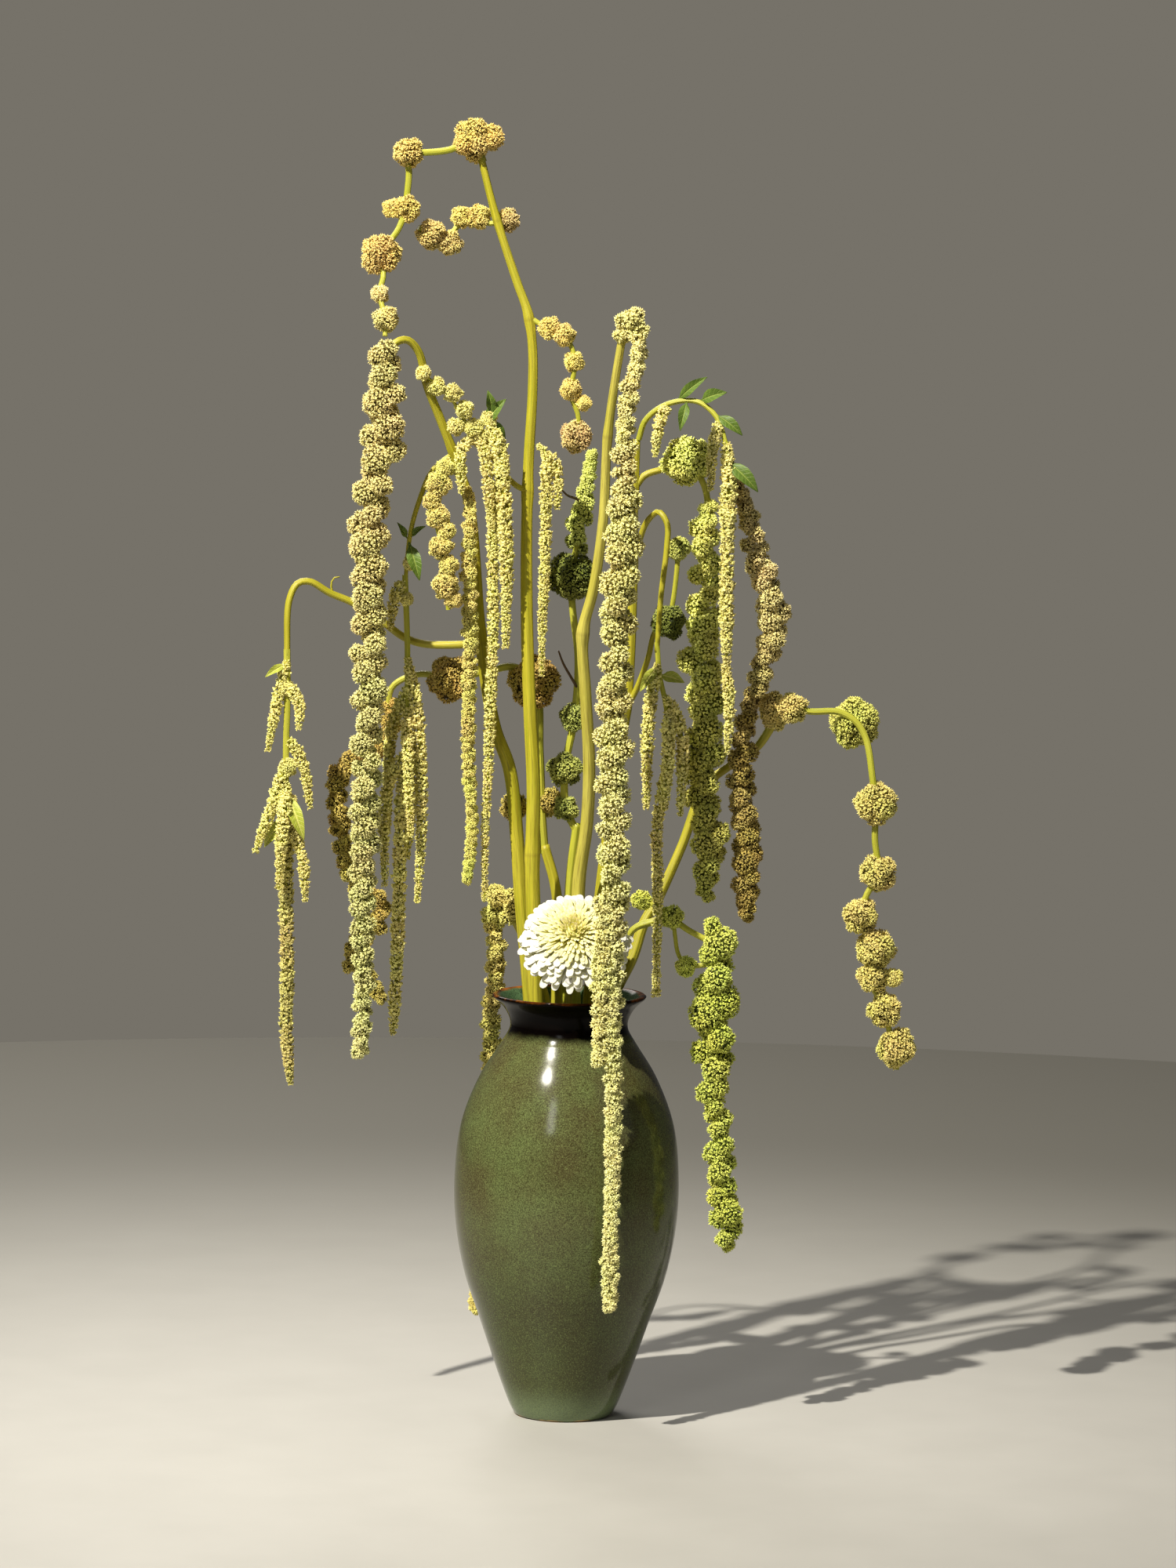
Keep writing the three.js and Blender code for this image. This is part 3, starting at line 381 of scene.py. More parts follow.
world = bpy.data.worlds.new("grey_room")
bpy.context.scene.world = world
world.use_nodes = True
tree = world.node_tree
seen = node(tree, "LightPath").outputs["Is Camera Ray"]
tree.links.new(mix(tree, seen, WORLD_LIGHTS, WORLD_LOOKS), tree.nodes["Background"].inputs["Color"])
bpy.context.scene.view_settings.view_transform = "Standard"

# %% The floor
FLOOR_RADIUS = 1700
FLOOR_SIDES = 96
FLOOR_THICK = 12
FLOOR_BEVEL = 2
FLOOR_GAP = 0.2
PALE_TO = 150
SHADE_FROM = 1150

floor_material, tree, socket = material("pale_floor", Roughness=0.55)
where = own_place(tree)
pale = mix(tree, noise(tree, where, 14, 4), colour("#a6a49e"), colour("#b2b0aa"))
# painted shade: beyond 150 mm the floor darkens, all the way by 1150 mm, so that it fades into the grey world
far_painted_shade = node(tree, "VectorMath", {"Vector": where}, operation="LENGTH").outputs["Value"]
far_painted_shade = rescale(tree, far_painted_shade, PALE_TO * MM, SHADE_FROM * MM, smooth=True)
tree.links.new(mix(tree, far_painted_shade, pale, colour("#6a6861")), socket["Base Color"])
edge = np.array([
    (0.02, -FLOOR_THICK),
    (0.995, -FLOOR_THICK),
    (1, FLOOR_BEVEL - FLOOR_THICK),
    (1, -FLOOR_BEVEL),
    (0.995, -FLOOR_GAP),
    (0.02, -FLOOR_GAP),
])
part = skin(rings_round(FLOOR_RADIUS * edge[:, 0], edge[:, 1], FLOOR_SIDES)[None])
faces = [corners for kind in part["faces"] for corners in kind.tolist()]
floor_mesh = bpy.data.meshes.new("floor")
floor_mesh.from_pydata((part["co"] * MM).tolist(), [], faces)
floor_mesh.materials.append(floor_material)
floor = bpy.data.objects.new("floor", floor_mesh)
bpy.context.collection.objects.link(floor)
print("floor", FLOOR_RADIUS * 2, "mm across")

# %% [markdown]
# ## The vase
# Thrown stoneware: a narrow foot, a high shoulder, a pinched neck and a flared lip. It is a lathe
# form, so one profile carried round the axis gives all of it, outside, lip and inside. The CAD
# solid has 24 flat sides; the same outline is drawn here as a smooth curve with 144.

# %% Turn the vase
VASE_FOOT = (26, 0.3)
VASE_OUTSIDE = [
    (29.0, 0.05), (30.5, 0.4), (31.2, 1.6), (33.5, 6), (40.3, 23.6), (53.3, 61), (62.5, 88), (68.2, 118),
    (69.4, 147), (65.8, 181), (54.4, 211), (42.7, 230), (37.0, 239.5), (36.2, 243), (37.0, 247.5),
    (41.0, 254.5), (46.6, 259.6),
]
VASE_LIP = [(47.5, 260.6), (47.4, 261.5), (46.4, 262.0), (45, 261.9), (43.6, 261.1)]
VASE_INSIDE = [
    (40.0, 257), (35.0, 250.5), (32.2, 244.5), (32.4, 240), (37.5, 231.5), (49.9, 211), (61.3, 181),
    (64.9, 147), (63.7, 118), (57.6, 88), (48.8, 61), (38, 32), (32, 12), (28, 7.2), (10, 7),
]
VASE_STEP = 1.6
VASE_SIDES = 144


def lathe(profile, step, sides):
    """Rings round +Z: a smooth line through (radius, height) pairs, turned through equal angles."""
    line, _ = spline([(r, 0, z) for r, z in profile], step)
    return rings_round(line[:, 0], line[:, 2], sides)


vase_rings = lathe([VASE_FOOT, *VASE_OUTSIDE, *VASE_LIP, *VASE_INSIDE], VASE_STEP, VASE_SIDES)
lip_row = int(np.argmax(vase_rings[:, 0, 2]))
inside = (np.arange(len(vase_rings)) > lip_row + 1).astype(float)
inside = np.broadcast_to(inside[:, None], vase_rings.shape[:2])
print("vase", len(vase_rings), "rings, lip at ring", lip_row)

# %% [markdown]
# ## The glaze
# An olive green glaze that broke into fine brown specks, darker towards the bottom as painted shade,
# a duller grey green above the foot, partly where it pooled and partly painted light from the floor,
# and nearly black over the neck, partly a dark glaze and partly painted shade where the lip shades it,
# with an amber line where it ran thin on the lip. All of it depends on height, with noise to fray
# each border. The foot's edge was wiped clean to bare clay.

# %% Glaze material
# Heights in metres: where each finish starts to come in, and where it is all there.
LOW_PAINTED_SHADE = (0.15, 0.05)
POOLED_AND_PAINTED_BOUNCE = (0.026, 0.003)
COLLAR_DARK_AND_SHADE = (0.2335, 0.2405)
AMBER_LIP = (0.2598, 0.2622)
BARE_CLAY = (0.0006, 0.0001)
GLOSSY, MATT = 0.15, 0.75


def frayed(tree, height, cloud, down, up):
    """The height, moved by down metres where the cloud is 0 and by up metres where it is 1."""
    return calc(tree, "ADD", height, rescale(tree, cloud, 0, 1, down, up))


glaze, tree, socket = material("speckled_glaze", Specular_IOR_Level=0.3)
where = own_place(tree)
height = node(tree, "SeparateXYZ", {"Vector": where}).outputs["Z"]
cloud = noise(tree, where, 26, 4)
green = mix(tree, rescale(tree, cloud, 0.35, 0.62), colour("#59633a"), colour("#504d2f"))
# painted shade: below 150 mm the green darkens towards #39411f, fully by 50 mm
deep = calc(tree, "MULTIPLY", rescale(tree, height, *LOW_PAINTED_SHADE, smooth=True), 0.6)
green = mix(tree, deep, green, colour("#39411f"))
# paler below 26 mm: partly pooled glaze, partly painted light thrown up from the floor
green = mix(tree, rescale(tree, height, *POOLED_AND_PAINTED_BOUNCE, smooth=True), green, colour("#6b7a58"))
specks = calc(tree, "ADD", noise(tree, where, 2200, 2, 0.7), noise(tree, where, 1150, 2, 0.65))
fewer_low = rescale(tree, height, 0.0, 0.06, 0.35, 1.0)
brown = calc(tree, "MULTIPLY", rescale(tree, specks, 0.94, 1.2, 0.0, 0.9), fewer_low)
body = mix(tree, brown, green, colour("#2e2813"))
light_specks = calc(tree, "MULTIPLY", rescale(tree, specks, 0.92, 0.78), 0.55)
body = mix(tree, light_specks, body, colour("#74804a"))
border = frayed(tree, height, noise(tree, where, 60, 3), -0.003, 0.003)
# nearly black over the neck: partly a dark glaze, partly painted shade where the lip shades the neck
dark = mix(tree, noise(tree, where, 120, 3), colour("#020101"), colour("#070403"))
body = mix(tree, rescale(tree, border, *COLLAR_DARK_AND_SHADE, smooth=True), body, dark)
well = mix(tree, rescale(tree, cloud, 0.35, 0.65), colour("#3f5a3c"), colour("#55704c"))
well = mix(tree, brown, well, colour("#1a1a10"))
body = mix(tree, carried(tree, "inside"), body, well)
lip = frayed(tree, height, noise(tree, where, 95, 4, 0.7), -0.0022, 0.0012)
thin = rescale(tree, noise(tree, where, 70, 3), 0.4, 0.62)
amber = mix(tree, thin, colour("#1c0c04"), colour("#a35c18"))
body = mix(tree, rescale(tree, lip, *AMBER_LIP, smooth=True), body, amber)
clay = rescale(tree, border, *BARE_CLAY)
tree.links.new(mix(tree, clay, body, colour("#b79a68")), socket["Base Color"])
tree.links.new(rescale(tree, clay, 0, 1, GLOSSY, MATT), socket["Roughness"])
bump(tree, socket, noise(tree, where, 55, 3), 0.06, 0.002)
print("glaze of", len(tree.nodes), "nodes")

# %% [markdown]
# The collar's faces get a duller copy of the material that hardly mirrors: a shaded copy, painted shade over
# the neck on top of its dark glaze.

# %% Glaze the vase
COLLAR_FROM = 0.2345
SHADED_COLLAR_SPECULAR = 0.05

# a shaded copy of the glaze for the collar: its low specular level dims reflections, as painted shade
shaded_collar_glaze = glaze.copy()
shaded_collar_glaze.name = "dark_and_shaded_collar_glaze"
shaded_collar_shader = shaded_collar_glaze.node_tree.nodes["Principled BSDF"]
shaded_collar_shader.inputs["Specular IOR Level"].default_value = SHADED_COLLAR_SPECULAR
wall = skin(vase_rings[None], inside=inside[None])
vase = build("glazed_vase", [wall], [glaze, shaded_collar_glaze], ["vase"])
centres = np.empty(len(vase.data.polygons) * 3, np.float32)
vase.data.polygons.foreach_get("center", centres)
in_collar = centres[2::3] > COLLAR_FROM
vase.data.polygons.foreach_set("material_index", in_collar.astype(np.int32))
print("collar", int(in_collar.sum()), "faces")

# %% [markdown]
# ## The water
# The stems stand in water up to the shoulder. The CAD solid has the right shape, so it stays and only
# gets a clear material.

# %% Water material
water_material, tree, socket = material("still_water", Roughness=0.03, Transmission_Weight=0.9, IOR=1.33)
where = own_place(tree)
tint = mix(tree, noise(tree, where, 30, 2), colour("#b9c8a8"), colour("#a8ba98"))
tree.links.new(tint, socket["Base Color"])
bump(tree, socket, noise(tree, where, 40, 2), 0.05, 0.001)
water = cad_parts["water"]
water.data.materials.clear()
water.data.materials.append(water_material)

# %% [markdown]
# ## Stems
# Amaranth stems are ribbed and fleshy, yellow green with paler ribs, and swell a little where a side
# shoot leaves. A stem is a ring of points carried along its line. The ribs are waves in the ring's
# radius, so they catch the light from any side. Each point also carries where it is round and along
# the stem, because the streaks in the colour follow the ribs.

# %% Carry a ring along a line
STALK_STEP = 3.0  # mm from ring to ring
TAPER_POWER = 1.8
SWOLLEN_FOR = 1.3  # of the first radius
SCARRED_FOR = 3.0  # mm
RIB_TWIST = 0.004  # radians for each mm
UNEVEN = 0.015


def stalk(points, first, last, sides=24, ribs=0.055, swollen=(), paint=0):
    """Rings along a line, whose radius goes from first to last.

    Radius = (first + (last - first) share^1.8) x (1 + size x bell curve at each swollen place)
    x (1 + ribs x two waves round the ring) x (1 + a slow small wave along the line).
    """
    line, along = spline(points, STALK_STEP)
    _, side, other = frames(line)
    radius = first + (last - first) * (along / along[-1]) ** TAPER_POWER
    scar = np.zeros(len(line))
    for place, size in swollen:
        near = along[np.argmin(np.linalg.norm(line - place, axis=1))]
        radius = radius * (1 + size * np.exp(-(((along - near) / (SWOLLEN_FOR * first)) ** 2)))
        scar = np.maximum(scar, np.exp(-(((along - near) / SCARRED_FOR) ** 2)))
    turn = turns(sides)[None]
    phase = along[:, None] * RIB_TWIST
    wave = np.cos(5 * turn + phase) + 0.5 * np.cos(9 * turn + 1.3 - phase)
    reach = radius[:, None] * (1 + ribs * wave) * (1 + UNEVEN * np.sin(along[:, None] * 0.09 + turn))
    rings = off_line(line[:, None], side[:, None], other[:, None], reach, turn)
    grain = np.stack(np.broadcast_arrays(np.cos(turn), np.sin(turn), along[:, None] * MM), axis=-1)
    scar = np.broadcast_to(scar[:, None], reach.shape)
    return skin(rings[None], paint=paint, grain=grain[None], scar=scar[None])


# %% [markdown]
# The streaks are one effect for stems, leaves and petals, so they are a node group: noise read in a
# space where "round the stem" is a circle and "along the stem" is squeezed, which draws it out into
# long lines without a seam.

# %% Streaks as a shader group
streaks, given, result = group(
    "long streaks",
    [("Round", "Float", 1.8), ("Along", "Float", 14.0), ("Contrast", "Float", 0.18)],
    [("Streak", "Float"), ("Patch", "Float")],
)
squeeze = node(
    streaks, "CombineXYZ", {"X": given["Round"], "Y": given["Round"], "Z": given["Along"]}
).outputs[0]
grain = carried(streaks, "grain", "Vector")
drawn = node(streaks, "VectorMath", {0: grain, 1: squeeze}, operation="MULTIPLY").outputs[0]
low_end = calc(streaks, "SUBTRACT", 0.5, given["Contrast"])
high_end = calc(streaks, "ADD", 0.5, given["Contrast"])
drawn_out = rescale(streaks, noise(streaks, drawn, 1.7, 5, 0.62), low_end, high_end)
streaks.links.new(drawn_out, result["Streak"])
patches = rescale(streaks, noise(streaks, own_place(streaks), 22, 3), 0.32, 0.68)
streaks.links.new(patches, result["Patch"])


def stem_material(name, dark, light, rib, brown, brown_share):
    """Streaks blend two greens, paler ribs come out on top, brown scars and stains are laid over them."""
    made, tree, socket = material(name, Roughness=0.42, Specular_IOR_Level=0.4)
    marks = use(tree, streaks, {"Round": 1.9, "Along": 9.0, "Contrast": 0.16})
    base = mix(tree, marks["Streak"], colour(dark), colour(light))
    base = mix(tree, rescale(tree, marks["Patch"], 0, 1, 0, 0.45), base, colour(rib))
    stain = use(tree, streaks, {"Round": 3.4, "Along": 26.0, "Contrast": 0.1})
    worn = rescale(tree, stain["Streak"], 0.62, 1.0, 0.0, brown_share)
    base = mix(tree, worn, base, colour(brown))
    scarred = rescale(tree, carried(tree, "scar"), 0.6, 1.0, 0, 0.25)
    tree.links.new(mix(tree, scarred, base, colour(brown)), socket["Base Color"])
    bump(tree, socket, marks["Streak"], 0.35, 0.0004)
    return made


STEM_GREEN = stem_material("ribbed_stem", "#858816", "#b4a826", "#c2b640", "#5f4a1c", 0.35)
STEM_STRAW = stem_material("straw_stem", "#9c9636", "#bcb248", "#c8be62", "#6a5626", 0.5)
STEM_SOFT = stem_material("soft_stalk", "#8c9420", "#b2ae34", "#bfba4e", "#6a5c22", 0.2)
STEM_DRY = stem_material("dry_twig", "#2c1c10", "#5a4028", "#6a4c30", "#241408", 0.6)
print("stem materials", STEM_GREEN.name, STEM_STRAW.name, STEM_SOFT.name)

# %% [markdown]
# The points below are those of the CAD stems: the foot near the vase's floor, the neck of the vase,
# and the way up. A stem and its side branches are one piece.

# %% Stem routes
NECK = 244
STEM_FOOT = 7.3
FOOT_SPREAD = 0.75


def planted(x, y, *rest):
    """Foot, neck, and the rest: the foot stands at three quarters of the stem's place in the neck."""
    return [(x * FOOT_SPREAD, y * FOOT_SPREAD, STEM_FOOT), (x, y, NECK), *rest]


# name: (points, first radius, last radius, swollen places and by how much, side branches)
STEMS = {
    "tall": (
        planted(-20, -13, (-24, -14, 345), (-24, -14, 393), (-27, -13, 441), (-30, -12, 513), (-30, -11, 584),
                (-28, -10, 632), (-28.5, -10, 660), (-31.5, -10, 680), (-38.5, -9, 699), (-51.5, -8, 737),
                (-62, -8, 776)),
        4.9, 2.1,
        [((-30, -11, 572), 0.18), ((-24, -16, 348), 0.12), ((-28, -10, 675), 0.22), ((-52, -8, 736), 0.12)],
        [([(-30, -11, 572), (-37, -15, 575), (-46, -18, 584), (-55, -20, 596), (-63, -22, 603)], 1.8, 1.1)],
    ),
    "arching": (
        planted(-23, 3, (-30, 2, 314), (-34, 1, 360), (-39, 0, 401), (-48, 0, 425), (-54, -1, 454),
                (-59, -3, 495), (-65, -8, 560), (-74, -14, 590), (-84, -21, 616), (-92, -28, 636),
                (-97, -35, 656), (-104, -39, 663), (-111, -42, 661), (-115, -42, 653)),
        4.9, 2.2,
        [((-57, -2, 478), 0.2), ((-76, -15, 594), 0.15), ((-68, -9, 570), 0.12)],
        [
            ([(-57, -2, 478), (-67, -4, 477), (-93, -3, 477), (-105, -3, 481), (-116, -7, 489),
              (-136, -12, 502), (-150, -16, 508), (-162, -20, 515), (-169, -22, 514), (-174, -24, 504),
              (-175, -25, 470)], 2.4, 1.9),
            ([(-76, -15, 594), (-88, -18, 584), (-96, -18, 565), (-101, -18, 546),
              (-104, -17, 514)], 1.6, 1.2),
            ([(-68, -9, 570), (-76, -21, 584), (-83, -27, 583)], 1.3, 1.1),
            ([(-147, -15, 506), (-149, -16, 511), (-148, -16, 517), (-144, -16, 518)], 0.7, 0.4),
        ],
    ),
    "centre": (
        planted(2, -10, (4, -7, 300), (5, -7, 335), (9, -13, 369), (10, -20, 405), (7, -29, 450),
                (5, -35, 488), (11, -40, 515), (16, -47, 555), (18, -55, 606), (22, -63, 641),
                (26, -69, 668)),
        4.5, 2.4,
        [((5, -35, 488), 0.25), ((18, -55, 606), 0.15)],
        [],
    ),
    "ball": (planted(-2, 4, (-1, 8, 328), (3, 10, 367)), 3, 2.6, [], []),
    "back": (planted(-8, 14, (-9, 15, 322), (-17, 18, 352)), 3.6, 3, [], []),
    "right": (
        planted(12, 14, (19, 14, 328), (26, 13, 391), (33, 11, 450), (35, 9, 508), (35, 7, 556),
                (36, 4, 604)),
        4.6, 2.2,
        [((33, 11, 440), 0.15), ((35, 7, 530), 0.18), ((35, 6, 574), 0.18)],
        [
            ([(33, 11, 440), (38, 8, 450), (45, 3, 470), (49, -2, 487), (56, -7, 494)], 1.9, 1.4),
            ([(35, 7, 530), (38, -8, 541), (43, -18, 555), (50, -26, 561), (55, -29, 554), (55, -30, 540),
              (52, -30, 510), (50, -30, 476)], 1.9, 1.5),
            ([(35, 6, 574), (41, 6, 582), (52, 6, 586)], 2.2, 2),
        ],
    ),
    "khaki": (
        planted(22, 4, (39, 12, 285), (45, 16, 304), (54, 19, 320), (68, 24, 352), (82, 27, 389),
                (99, 25, 404), (114, 21, 415), (124, 18, 430)),
        4.2, 2.2,
        [((82, 27, 389), 0.2)],
        [],
    ),
    "lime": (
        planted(22, -10, (37, -18, 303), (47, -20, 309), (62, -22, 311), (73, -24, 305), (87, -25, 298)),
        2.8, 1.8,
        [((47, -20, 309), 0.25)],
        [],
    ),
    "trailing": (planted(-12, 23, (-27, 27, 288), (-36, 25, 306)), 2.4, 2.2, [], []),
    "gerbera": (planted(5, -26, (4.5, -27, 262), (3.5, -29, 280), (3, -33.5, 292)), 2.6, 2.5, [], []),
}
print("stems", len(STEMS))

# %% Grow the stems
STEM_NODES = {name: "stem_" + name for name in STEMS}
STEM_NODES["centre"] = "stem_center"
STEM_SKINS = {"centre": STEM_STRAW, "ball": STEM_SOFT, "gerbera": STEM_SOFT, "lime": STEM_SOFT}

for name, (points, first, last, swollen, branches) in STEMS.items():
    parts = [stalk(points, first, last, swollen=swollen)]
    parts += [stalk(*branch, sides=12, ribs=0.04) for branch in branches]
    build(name + "_stem", parts, [STEM_SKINS.get(name, STEM_GREEN)], [STEM_NODES[name]])

# %% [markdown]
# ## Florets
# An amaranth flower head is thousands of florets about 2 mm long. They sit in small round knobs, the
# knobs cover larger clumps, and the clumps crowd round a stalk. Modelling that order gives the deep
# creases between clumps that a bumpy tube can't. A particle system could scatter florets, but arrays
# keep every step exact and let each floret carry its own values.

# %% One floret
SEPALS = 3
ROOT = -0.3


def crown(tip_out, tip_up, notch_out, notch_up, heart_up):
    """A star of sepals, height about 1 along +Z, as points and triangles.

    A ring goes up and out at each tip and down and in at each notch. A point below closes the
    underside, and a point in the middle, the heart, closes the top.
    """
    count = 2 * SEPALS
    turn = np.arange(count) * math.pi / SEPALS
    is_tip = np.arange(count) % 2 == 0
    out = np.where(is_tip, tip_out, notch_out)
    up = np.where(is_tip, tip_up, notch_up)
    ring = np.stack([out * np.cos(turn), out * np.sin(turn), up], axis=-1)
    points = np.vstack([ring, [(0, 0, ROOT), (0, 0, heart_up)]])
    this = np.arange(count)
    after = np.roll(this, -1)
    under = np.stack([np.full(count, count), after, this], axis=-1)
    over = np.stack([np.full(count, count + 1), this, after], axis=-1)
    return points, np.vstack([under, over])


# blunt buds for the catkins, short soft stars for the heads
FLORETS = {
    "blunt": crown(tip_out=0.64, tip_up=0.80, notch_out=0.44, notch_up=0.46, heart_up=0.80),
    "starry": crown(tip_out=0.62, tip_up=1.0, notch_out=0.38, notch_up=0.46, heart_up=0.70),
}
print("florets", {name: len(faces) for name, (_, faces) in FLORETS.items()})

# %% [markdown]
# Directions that cover a ball evenly come from the golden angle: step down in equal heights and turn
# by 137.5 degrees each time. Each ball gets its own random turn, so that no pattern shows.

# %% Spread directions over many balls at once
SEED = 7
AT_A_TIME = 4000

rng = np.random.default_rng(SEED)


def spread(counts):
    """For each ball its own count of even directions, randomly turned; also which ball each belongs to.

    Height runs from 1 to -1 in equal steps, the angle is the step times the golden angle, and a unit
    quaternion drawn at random turns the whole set.
    """
    counts = np.asarray(counts)
    owner = np.repeat(np.arange(len(counts)), counts)
    step = np.arange(counts.sum()) - np.repeat(np.cumsum(counts) - counts, counts) + 0.5
    up = 1 - 2 * step / counts[owner]
    out = np.sqrt(1 - up * up)
    flat = np.stack([out * np.cos(step * GOLDEN), out * np.sin(step * GOLDEN), up], axis=-1)
    w, x, y, z = unit(rng.normal(size=(len(counts), 4))).T
    turned = np.stack(
        [
            np.stack([1 - 2 * (y * y + z * z), 2 * (x * y - z * w), 2 * (x * z + y * w)], axis=-1),
            np.stack([2 * (x * y + z * w), 1 - 2 * (x * x + z * z), 2 * (y * z - x * w)], axis=-1),
            np.stack([2 * (x * z - y * w), 2 * (y * z + x * w), 1 - 2 * (x * x + y * y)], axis=-1),
        ],
        axis=1,
    )
    return np.einsum("nij,nj->ni", turned[owner], flat), owner


def outside(points, owner, balls, slack):
    """True where a point is no deeper than slack inside any ball but its own.

    Squared distances come from |p|^2 + |c|^2 - 2 p.c, a few thousand points at a time.
    """
    keep = np.ones(len(points), bool)
    limit = np.maximum(balls[:, 3] - slack, 0) ** 2
    for start in range(0, len(points), AT_A_TIME):
        few = slice(start, start + AT_A_TIME)
        p = points[few]
        gap = (p**2).sum(1)[:, None] + (balls[:, :3] ** 2).sum(1)[None] - 2 * p @ balls[:, :3].T
        buried = gap < limit[None]
        buried[np.arange(len(p)), owner[few]] = False
        keep[few] = ~buried.any(axis=1)
    return keep


def plant(shape, places, facing, size, **values):
    """A floret at each place, its +Z along facing and spun at random.

    Point = place + size (x a + y b + z facing), where a and b are square to facing.
    """
    points, faces = FLORETS[shape]
    axis = np.eye(3)[np.argmin(np.abs(facing), axis=1)]
    a = unit(np.cross(axis, facing))
    b = np.cross(facing, a)
    spin = rng.uniform(0, 2 * math.pi, len(places))[:, None]
    a, b = a * np.cos(spin) + b * np.sin(spin), b * np.cos(spin) - a * np.sin(spin)
    x, y, z = points.T[..., None]
    size = np.broadcast_to(size, len(places))[:, None, None]
    co = places[:, None] + size * (x * a[:, None] + y * b[:, None] + z * facing[:, None])
    shift = (np.arange(len(places)) * len(points))[:, None, None]
    held = {"tip": np.tile(np.clip(points[:, 2], 0, 1), len(places))}
    held["tint"] = np.repeat(rng.random(len(places)), len(points))
    held |= {name: np.repeat(v, len(points)) for name, v in values.items()}
    return {"co": co.reshape(-1, 3), "faces": [(faces + shift).reshape(-1, 3)], "values": held, "paint": 0}


# %% [markdown]
# Clumps come in two kinds. Along a tassel they stand in a spiral round the line, of uneven size, so
# that they bulge to one side and then the other. A ball is one large clump with smaller ones pushed
# out of it. Each clump is a centre, a radius and a share, from 0 to 1, of how green or late that part
# of the tassel is.

# %% Clumps along a tassel, and clumps of a ball
PITCH = 0.48  # of the tassel's radius, from one clump to the next
RAGGED = 0.1  # how far the outside varies, as a share of the radius
CLUMP_SHARE = 0.67  # of the tassel's radius
CORE_SHARE = 0.74  # of the ball's radius
LUMPS = 9
LUMP_SHARE = 0.5  # of the ball's radius


def tassel_clumps(points, widths, late):
    """Clumps in a spiral, each a golden angle on from the last and 0.48 of the radius further along.

    A clump's radius is about 0.67 of the tassel's, and its centre stands so that it just reaches the
    outside.
    """
    line, along = spline(points, 1.0)
    _, side, other = frames(line)
    share = along / along[-1]
    radius = between(widths, share)
    count = np.concatenate([[0], np.cumsum(np.diff(along) / (PITCH * radius[1:]))])
    rows = np.interp(np.arange(0.6, count[-1] - 0.3, 1.0), count, np.arange(len(line)))
    row = np.clip(np.round(rows).astype(int), 0, len(line) - 1)
    reach = radius[row] * (1 + RAGGED * rng.uniform(-1.3, 1, len(row)))
    turn = np.arange(len(row)) * GOLDEN + rng.uniform(-0.5, 0.5, len(row)) + rng.uniform(0, 2 * math.pi)
    size = CLUMP_SHARE * reach * rng.uniform(0.72, 1.12, len(row))
    centre = off_line(line[row], side[row], other[row], reach - size, turn)
    return np.column_stack([centre, size, between(late, share[row])])


def ball_clumps(balls, late):
    """For each ball a core of 0.74 of its radius, and lumps of half of it that just reach its outside."""
    centres = np.array([c for c, _ in balls], float)
    radii = np.array([r for _, r in balls], float)
    facing, owner = spread(np.full(len(balls), LUMPS))
    size = radii[owner] * LUMP_SHARE * rng.uniform(0.85, 1.12, len(owner))
    out = centres[owner] + facing * (radii[owner] * rng.uniform(0.93, 1.0, len(owner)) - size)[:, None]
    cores = np.column_stack([centres, radii * CORE_SHARE, np.full(len(balls), late)])
    return np.vstack([cores, np.column_stack([out, size, np.full(len(owner), late)])])


# %% [markdown]
# From clumps to florets: knobs are spread over each clump and dropped where they sink into a
# neighbour, and florets are spread over each knob and dropped on its inner side. What is left is
# only what shows. A dark ball of painted shade inside each clump keeps light from leaking through.

# %% Cover clumps with florets
COVERED = 0.7  # share of a clump's surface under knobs
FEWEST_KNOBS = 6
FLORET_SEAT = 0.62  # of the knob's radius, from its middle
KNOB_SLACK = 0.9  # how deep a knob may sink into another clump, in knob radii
FLORET_SLACK = 0.5  # the same for a floret and another knob
LEAN = 0.15
RUFFLED = 0.18
LATE_SPREAD = 0.45  # from clump to clump
HEART_SHARE = 0.72
HEART_RISE = np.radians([-60, -20, 20, 60])
HEART_SIDES = 8


def floret_parts(clumps, knob, floret, crowd):
    """Knob count = 0.7 x 4 (clump / knob)^2; floret facing = knob direction leaned towards the clump's."""
    balls = clumps[:, :4]
    counts = np.maximum(FEWEST_KNOBS, np.round(COVERED * 4 * (balls[:, 3] / knob) ** 2)).astype(int)
    facing, owner = spread(counts)
    size = np.minimum(knob, balls[owner, 3] * 0.5) * rng.uniform(0.82, 1.15, len(owner))
    raised = balls[owner, 3] - size * rng.uniform(0.8, 1.15, len(owner))
    centre = balls[owner, :3] + facing * raised[:, None]
    keep = outside(centre, owner, balls, KNOB_SLACK * knob)
    knobs = np.column_stack([centre, size])[keep]
    outward, owner = facing[keep], owner[keep]
    facing, knob_of = spread(np.full(len(knobs), crowd))
    places = knobs[knob_of, :3] + facing * knobs[knob_of, 3, None] * FLORET_SEAT
    shows = (facing * outward[knob_of]).sum(1) > 0.0
    shows &= outside(places, knob_of, knobs, FLORET_SLACK * knob)
    places, facing, knob_of = places[shows], facing[shows], knob_of[shows]
    facing = unit(facing + LEAN * outward[knob_of] + rng.normal(scale=RUFFLED, size=facing.shape))
    clump_of = owner[knob_of]
    height = (facing * outward[knob_of]).sum(1)
    late = clumps[clump_of, 4] + (rng.random(len(clumps)) - 0.5)[clump_of] * LATE_SPREAD
    size = floret * rng.uniform(0.78, 1.2, len(places))
    # how far a floret faces out of its knob; where it is low, the colour group paints crease shade
    reach = np.clip(0.5 + 0.75 * height, 0, 1)
    return plant("starry", places, facing, size, reach=reach, late=np.clip(late, 0, 1)), len(knobs)


